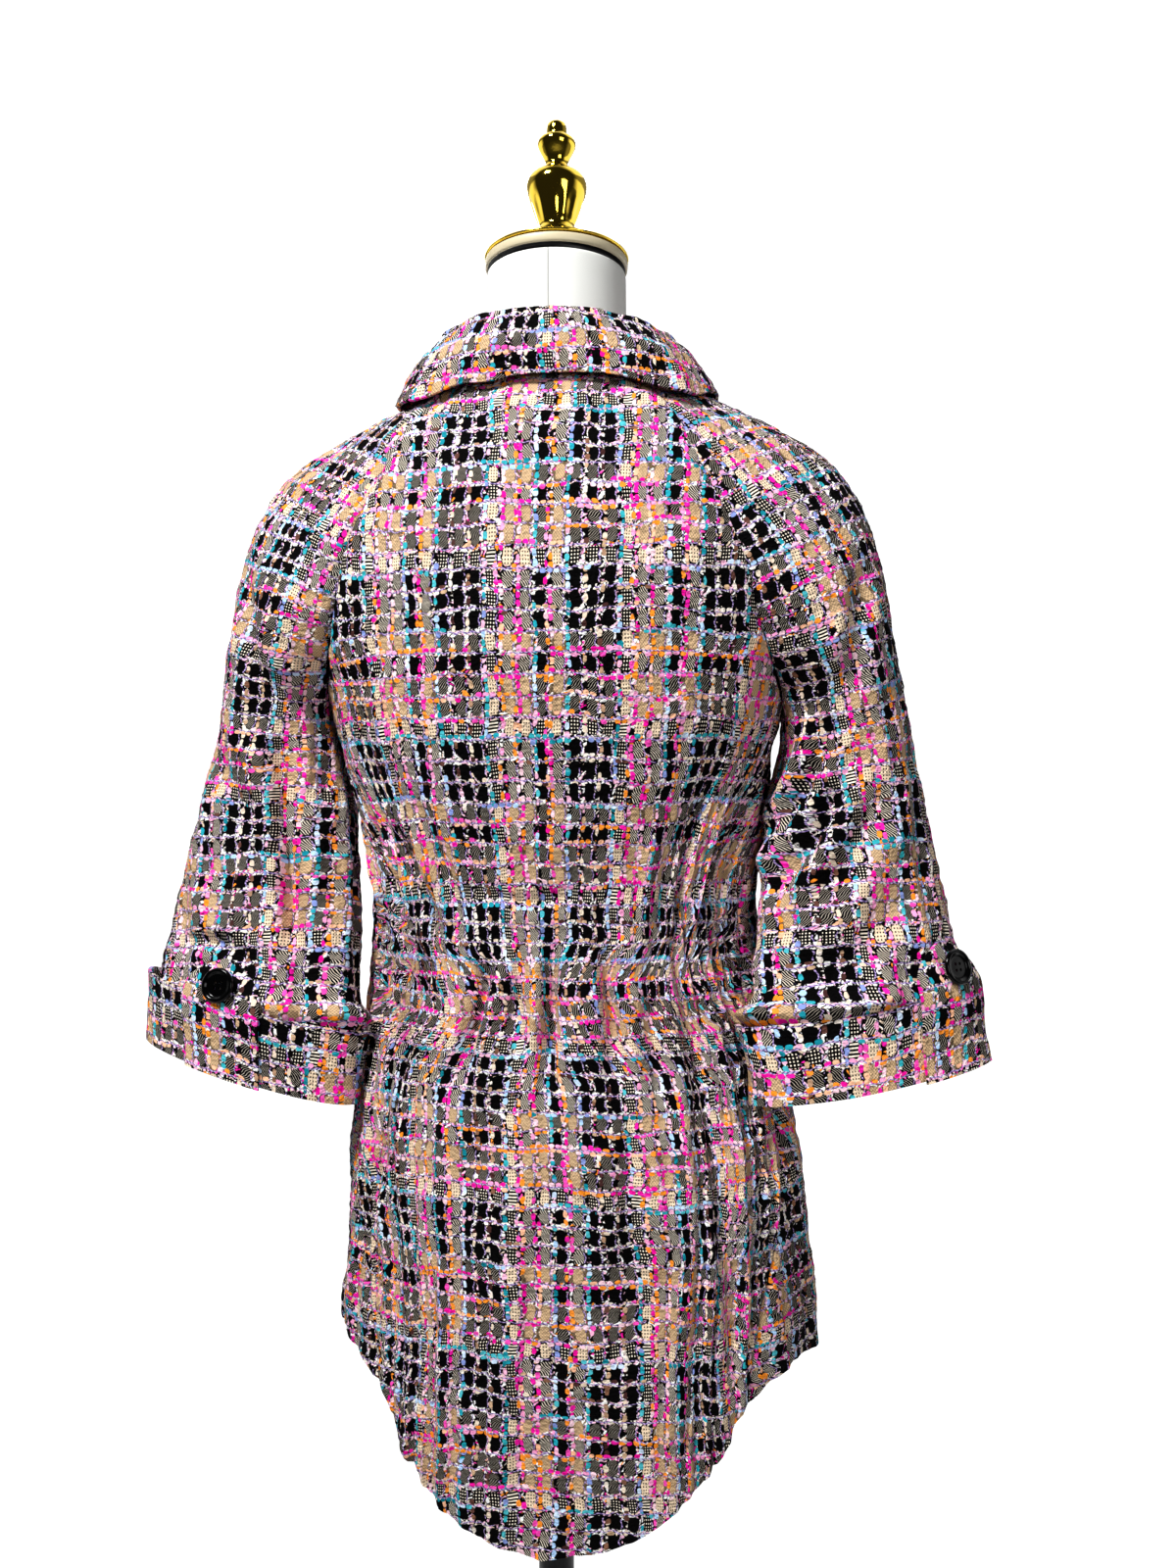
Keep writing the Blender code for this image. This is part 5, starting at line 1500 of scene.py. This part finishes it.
# %% Torso
rings = [(0.7160, 0.100, 0.070, 0.0), (0.7162, 0.140, 0.0945, 0.0), (0.7168, 0.1455, 0.0985, 0.0)]
for height in np.concatenate([np.linspace(0.7180, 1.32, 25), np.linspace(1.332, 1.4662, 17)]):
    back, front = float(FORM.at("back", height)), float(FORM.at("front", height))
    wide = float(FORM.at("half_width", height))
    rings.append((float(height), wide, (back + front) / 2, (back - front) / 2))
rings += [(1.4668, 0.0526, 0.0526, 0.0), (1.4669, 0.0480, 0.0480, 0.0), (1.4669, 0.0200, 0.0200, 0.0)]
hard = {"form_torso": rounded(draw_up("calico_form", rings, 48), 1)}

# %% Cap, rim and finial
CAP_FOOT = 1.4670
CAP = (
    (0.0000, 0.0200), (0.0000, 0.0480), (0.0006, 0.0492), (0.0030, 0.0492), (0.0034, 0.0496),
    (0.0035, 0.0520), (0.0037, 0.0536), (0.0046, 0.0543), (0.0070, 0.0546), (0.0092, 0.0546),
    (0.0102, 0.0544), (0.0106, 0.0530), (0.0107, 0.0200),
)
RIM_FOOT = 1.4780
GOLD_RIM = (
    (0.0000, 0.0200), (0.0000, 0.0535), (0.0003, 0.0549), (0.0012, 0.0554), (0.0022, 0.0549),
    (0.0026, 0.0535), (0.0034, 0.0525), (0.0070, 0.0460), (0.0110, 0.0370), (0.0142, 0.0250),
    (0.0155, 0.0190), (0.0162, 0.0150), (0.0170, 0.0080),
)
FINIAL_FOOT = 1.4952
FINIAL = (
    (0.0000, 0.0080), (0.0000, 0.0150), (0.0010, 0.0160), (0.0040, 0.0158), (0.0062, 0.0151),
    (0.0078, 0.0141), (0.0094, 0.0136), (0.0110, 0.0143), (0.0150, 0.0163), (0.0200, 0.0183),
    (0.0260, 0.0204), (0.0320, 0.0220), (0.0370, 0.0231), (0.0400, 0.0235), (0.0430, 0.0231),
    (0.0460, 0.0217), (0.0484, 0.0195), (0.0502, 0.0162), (0.0510, 0.0138), (0.0513, 0.0112),
    (0.0522, 0.0106), (0.0534, 0.0108), (0.0544, 0.0105), (0.0552, 0.0092), (0.0566, 0.0086),
    (0.0590, 0.0087), (0.0620, 0.0100), (0.0655, 0.0120), (0.0690, 0.0139), (0.0718, 0.0150),
    (0.0742, 0.0148), (0.0762, 0.0134), (0.0778, 0.0108), (0.0788, 0.0084), (0.0798, 0.0075),
    (0.0822, 0.0079), (0.0860, 0.0078), (0.0884, 0.0070), (0.0898, 0.0050), (0.0904, 0.0020),
)
PETALS = (0.0110, 0.0320)


def flute(piece, foot, heights, depth):
    """Presses every other upright line of points in, between two heights, as a fluted bud has."""
    mesh = piece.data
    for vertex in mesh.vertices:
        place = (vertex.co.z - foot - heights[0]) / (heights[1] - heights[0])
        turn = round(math.atan2(vertex.co.y, vertex.co.x) / (2 * math.pi) * 24)
        if 0 <= place <= 1 and turn % 2:
            press = 1 - depth * math.sin(math.pi * min(max(place, 0.12), 0.88)) ** 0.6
            vertex.co.x *= press
            vertex.co.y *= press


hard["neck_cap"] = rounded(lathe("cream_cap", CAP, CAP_FOOT, 48), 1)
# The cap's lower step, in the gap under its flange, gets a second slot for black iron: painted shade that
# keeps the gap dark.
hard["neck_cap"].data.materials.append(None)
for face in hard["neck_cap"].data.polygons:
    face.material_index = int(face.center.z < CAP_FOOT + 0.0036)
hard["neck_rim"] = rounded(lathe("gold_rim", GOLD_RIM, RIM_FOOT, 48), 1)
finial = lathe("gold_finial", FINIAL, FINIAL_FOOT)
flute(finial, FINIAL_FOOT, PETALS, 0.13)
hard["finial"] = rounded(finial)

# %% Pole and base
BASE = (
    (0.0000, 0.1000), (0.0000, 0.1650), (0.0002, 0.1680), (0.0030, 0.1700), (0.0120, 0.1700),
    (0.0145, 0.1695), (0.0165, 0.1670), (0.0205, 0.1560), (0.0218, 0.1500), (0.0222, 0.1100),
    (0.0228, 0.0500), (0.0240, 0.0340), (0.0270, 0.0300), (0.0420, 0.0225), (0.0500, 0.0212),
    (0.0516, 0.0205), (0.0520, 0.0190), (0.0520, 0.0100),
)
SOCKET = (
    (0.0000, 0.0150), (0.0000, 0.0320), (0.0006, 0.0342), (0.0030, 0.0358), (0.0050, 0.0360),
    (0.0120, 0.0360), (0.0134, 0.0356), (0.0140, 0.0340), (0.0140, 0.0150),
)
hard["stand_base"] = rounded(lathe("iron_base", BASE, 0.0, 48), 1)
pole_low, pole_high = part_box("pole")
POLE_LENGTH = 0.6425
POLE = (
    (0.0, 0.0060), (0.0, 0.0130), (0.0005, 0.0135), (0.30, 0.0135), (0.60, 0.0135), (0.6420, 0.0135),
    (POLE_LENGTH, 0.0130), (POLE_LENGTH, 0.0060),
)
pole_profile = [(height / POLE_LENGTH * (pole_high.z - pole_low.z), radius) for height, radius in POLE]
hard["pole"] = rounded(lathe("iron_pole", pole_profile, pole_low.z), 1)
hard["pole_socket"] = rounded(lathe("iron_socket", SOCKET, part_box("pole_socket")[0].z, 36), 1)

# %% Buttons: one is turned and drilled, and the rest are copies
BUTTON_REACH = 0.0135     # a button lies on the cloth within this distance of its middle
BUTTON_GAP = 0.0003
BUTTON = (
    (0.0000, 0.0040), (0.0000, 0.0096), (0.0004, 0.0108), (0.0012, 0.0122), (0.0020, 0.0126),
    (0.0030, 0.0125), (0.0038, 0.0119), (0.0042, 0.0110), (0.0041, 0.0101), (0.0035, 0.0092),
    (0.0026, 0.0084), (0.0023, 0.0076), (0.0023, 0.0060), (0.0024, 0.0030),
)
HOLE_PLACE, HOLE_RADIUS = 0.0021, 0.0011


def drill(piece, x, y, radius):
    """Cuts a round hole straight through."""
    bpy.ops.object.select_all(action="DESELECT")
    bpy.ops.mesh.primitive_cylinder_add(vertices=16, radius=radius, depth=0.012, location=(x, y, 0.0))
    cutter = bpy.context.object
    modifier = piece.modifiers.new("hole", "BOOLEAN")
    modifier.operation, modifier.object, modifier.solver = "DIFFERENCE", cutter, "EXACT"
    bpy.context.view_layer.objects.active = piece
    bpy.ops.object.modifier_apply(modifier="hole")
    bpy.data.objects.remove(cutter, do_unlink=True)


pattern = rounded(lathe("button_pattern", BUTTON, 0.0, 24), 1)
for x in (-HOLE_PLACE, HOLE_PLACE):
    for y in (-HOLE_PLACE, HOLE_PLACE):
        drill(pattern, x, y, HOLE_RADIUS)
bpy.ops.object.select_all(action="DESELECT")
pattern.select_set(True)
bpy.context.view_layer.objects.active = pattern
bpy.ops.object.shade_smooth_by_angle(angle=math.radians(40))


def rise_over_cloth(node, foot, axis):
    """How far a button moves along its axis so that it lies just on the cloth under it."""
    under = made[node.replace("button_cuff", "tab") if "cuff" in node else "front_right"]
    gap = np.array([vertex.co for vertex in under.data.vertices]) - foot
    height = gap @ axis
    near = np.linalg.norm(gap - height[:, None] * axis, axis=1) < BUTTON_REACH
    rise = height[near & (np.abs(height) < BUTTON_REACH)].max() + BUTTON_GAP
    print(node, "raised by", round(1000 * float(rise), 2), "mm")
    return rise


def set_button(node):
    """Copies the button to where its solid lies, face outwards."""
    points = np.array([vertex.co for vertex in nodes[node].data.vertices])
    middle = points.mean(axis=0)
    axis = np.linalg.svd(points - middle, full_matrices=False)[2][2]
    outward = 1.0 if "cuff" in node else -1.0
    axis = axis * math.copysign(1, axis[1] * outward)
    foot = middle + axis * ((points - middle) @ axis).min()
    foot = foot + axis * rise_over_cloth(node, foot, axis)
    side = unit(np.cross([0.0, 0.0, 1.0], axis))
    copy = pattern.copy()
    copy.data = pattern.data.copy()
    copy.name = copy.data.name = f"glossy_{node}"
    bpy.context.scene.collection.objects.link(copy)
    flat = np.array([vertex.co for vertex in copy.data.vertices])
    turned = flat @ np.array([side, np.cross(axis, side), axis])
    copy.data.vertices.foreach_set("co", (turned + foot).astype(np.float32).ravel())
    copy.data.update()
    return copy


for node in sorted(nodes):
    if node.startswith("button"):
        hard[node] = set_button(node)
bpy.data.objects.remove(pattern, do_unlink=True)
print("hard pieces:", len(hard))

# %% [markdown]
# ## Riding
# Every new piece follows the one body and stands for its solid.

# %% Attaching the pieces
def how_held(name):
    """How a sheet is held, and the pieces that it lies on or hangs from."""
    kind, side = name.split("_")[0], name.split("_")[-1]
    if kind == "collar":
        return "folded", [made[panel] for panel in ("back", "front_left", "front_right")]
    if kind == "cuff":
        return "folded", [made[f"sleeve_back_{side}"], made[f"sleeve_front_{side}"]]
    if kind == "tab":
        return "laid", [made[f"cuff_{side}"]]
    return "hung", [hard["form_torso"]]


for name, piece in made.items():
    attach(piece, "root")
    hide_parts(name)
    held, under = how_held(name)

# %% Material slots of the form, its stand and the buttons
SLOTS = {
    "form_torso": "calico", "neck_cap": "cream_band", "neck_rim": "polished_gold", "finial": "polished_gold",
    "pole": "black_iron", "pole_socket": "black_iron", "stand_base": "black_iron",
}
for name, piece in hard.items():
    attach(piece, "root")
    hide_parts(name)

# %% [markdown]
# ## Finishes of the form and the buttons
# Calico is a fine even weave with a seam down the middle of the back. The gold and the black are hard
# finishes, and their light comes from fine wear: a little cloud in the polish, and a powder grain on the
# iron.

# %% Calico, cream band, gold, iron and button
def base_material(name, roughness, metallic=0.0):
    material = bpy.data.materials.new(name)
    material.use_nodes = True
    Value.tree = material.node_tree
    shader = Value.tree.nodes["Principled BSDF"]
    shader.inputs["Metallic"].default_value = metallic
    shader.inputs["Roughness"].default_value = roughness
    place = Value.tree.nodes.new("ShaderNodeTexCoord")
    return material, shader, Value(place.outputs["Object"])


def raise_by(shader, height, distance, strength=1.0):
    bump = make_node("ShaderNodeBump", Height=height)
    bump.inputs["Strength"].default_value = strength
    bump.inputs["Distance"].default_value = distance
    Value.tree.links.new(bump.outputs[0], shader.inputs["Normal"])


def clouded(name, colour, roughness, metallic, scale, cloud, shine=0.5):
    """A hard finish whose tone and roughness drift a little, with a faint grain."""
    material, shader, place = base_material(name, roughness, metallic)
    drift, _ = noise(place, scale, 3.0)
    grain, _ = noise(place, scale * 14, 2.0)
    dark = tuple(c * (1 - cloud) for c in colour)
    put(shader.inputs["Base Color"], blend(drift * 0.7 + grain * 0.3, (*dark, 1), (*colour, 1)))
    put(shader.inputs["Roughness"], drift * roughness * 0.8 + roughness * 0.6)
    raise_by(shader, grain, 0.00003)
    shader.inputs["Specular IOR Level"].default_value = shine
    return material


def make_calico():
    material, shader, place = base_material("calico", 0.8)
    apart = Value.tree.nodes.new("ShaderNodeSeparateXYZ")
    put(apart.inputs[0], place)
    x, y, z = (Value(output) for output in apart.outputs)
    slow, _ = noise(place, 9.0, 2.0)
    threads = wave(x * 950.0 + y * 950.0) * wave(z * 950.0)
    seam = soft_step(0.0016, 0.0003, size(x + 0.0009 + (slow - 0.5) * 0.002)) * (y > 0.0)
    beside = soft_step(0.0050, 0.0010, size(x + 0.0009)) * (y > 0.0)
    # The tone drops along the back seam: a painted shadow line on the seam's ridge.
    tone = threads * 0.035 + slow * 0.10 + 0.90 - seam * 0.22
    put(shader.inputs["Base Color"], scaled(shade("F4F5F0"), tone))
    raise_by(shader, threads * 0.06 + seam * 0.7 + beside * 0.5, 0.0011)
    return material


finishes = {
    "calico": make_calico(),
    "cream_band": clouded("cream_band", shade("DCD0B0"), 0.38, 0.0, 40.0, 0.16),
    "polished_gold": clouded("polished_gold", shade("ECCB4E"), 0.07, 1.0, 30.0, 0.12),
    "black_iron": clouded("black_iron", shade("202022"), 0.42, 0.3, 60.0, 0.30),
    "black_button": clouded("black_button", shade("060607"), 0.14, 0.0, 90.0, 0.25, shine=0.22),
}
for name, piece in hard.items():
    # The neck cap's second slot, black iron, is painted shade on its lower step in the gap under the flange.
    slots = [SLOTS.get(name, "black_button")] + (["black_iron"] if name == "neck_cap" else [])
    marks = [face.material_index for face in piece.data.polygons]
    piece.data.materials.clear()
    for slot in slots:
        piece.data.materials.append(finishes[slot])
    piece.data.polygons.foreach_set("material_index", marks)

# %% [markdown]
# ## Room, light and camera
# The floor is a plain pale disc. The background is white and far off, and it lights the cloth less than it
# shows. Polished metal needs something to mirror, so reflections see a room that is bright behind the piece
# and at its feet, and dark behind the camera.

# %% Floor
bpy.ops.object.select_all(action="DESELECT")
bpy.ops.mesh.primitive_circle_add(vertices=96, radius=0.70, fill_type="NGON")
floor_piece = bpy.context.object
floor_piece.name = "floor"
for vertex in floor_piece.data.vertices:
    vertex.co.z = -0.001
floor_piece.data.materials.append(clouded("pale_floor", (0.86, 0.86, 0.86), 0.6, 0.0, 5.0, 0.02))

# %% Background and lamps
world = bpy.data.worlds.new("studio")
bpy.context.scene.world = world
world.use_nodes = True
tree = Value.tree = world.node_tree
ambient = tree.nodes["Background"]
ambient.inputs["Color"].default_value = (1.0, 1.0, 1.0, 1.0)
ambient.inputs["Strength"].default_value = 0.13
shown = make_node("ShaderNodeBackground", Strength=1.0)
direction = tree.nodes.new("ShaderNodeTexCoord")
apart = tree.nodes.new("ShaderNodeSeparateXYZ")
tree.links.new(direction.outputs["Generated"], apart.inputs[0])
away, upward = Value(apart.outputs[1]), Value(apart.outputs[2])
bands = soft_step(-0.3, 0.3, wave(upward * 1.4 + 0.15)) * 0.8 + 0.2
bright = calc("MAXIMUM", soft_step(0.30, -0.15, away), soft_step(-0.30, -0.75, upward) * 0.6)
mirrored = bright * bands * 1.2 + 0.03
glossy = make_node("ShaderNodeBackground", Strength=mirrored)
for node in (shown, glossy):
    node.inputs["Color"].default_value = (1.0, 1.0, 1.0, 1.0)
seen = tree.nodes.new("ShaderNodeLightPath")
to_mirror, to_camera = tree.nodes.new("ShaderNodeMixShader"), tree.nodes.new("ShaderNodeMixShader")
tree.links.new(seen.outputs["Is Glossy Ray"], to_mirror.inputs[0])
tree.links.new(ambient.outputs[0], to_mirror.inputs[1])
tree.links.new(glossy.outputs[0], to_mirror.inputs[2])
tree.links.new(seen.outputs["Is Camera Ray"], to_camera.inputs[0])
tree.links.new(to_mirror.outputs[0], to_camera.inputs[1])
tree.links.new(shown.outputs[0], to_camera.inputs[2])
tree.links.new(to_camera.outputs[0], tree.nodes["World Output"].inputs["Surface"])


def lamp(name, place, target, width, power):
    light = bpy.data.lights.new(name, "AREA")
    light.size, light.energy = width, power
    thing = bpy.data.objects.new(name, light)
    bpy.context.scene.collection.objects.link(thing)
    direction = np.array(target, float) - np.array(place, float)
    thing.location = place
    thing.rotation_euler = (
        math.atan2(math.hypot(direction[0], direction[1]), -direction[2]), 0,
        math.atan2(direction[1], direction[0]) - math.pi / 2,
    )
    return thing


lamp("key", (0.75, 1.35, 2.75), (0, 0, 1.0), 0.5, 61)
lamp("fill", (-1.3, 1.7, 1.3), (0, 0, 1.0), 0.8, 9)
lamp("front", (0.6, -2.0, 2.2), (0, 0, 1.0), 1.4, 30)

# %% Camera
camera = bpy.data.cameras.new("camera")
camera.sensor_fit = "VERTICAL"
camera.sensor_height = 36.0
camera.lens = 27.045
camera.clip_start = 0.05
view = bpy.data.objects.new("camera", camera)
view.location = (-0.1335, 0.8904, 1.08)
view.rotation_euler = (math.radians(90), 0, math.radians(187))
bpy.context.scene.collection.objects.link(view)
bpy.context.scene.camera = view
bpy.context.scene.view_settings.view_transform = "Standard"
bpy.context.scene.view_settings.look = "Medium High Contrast"
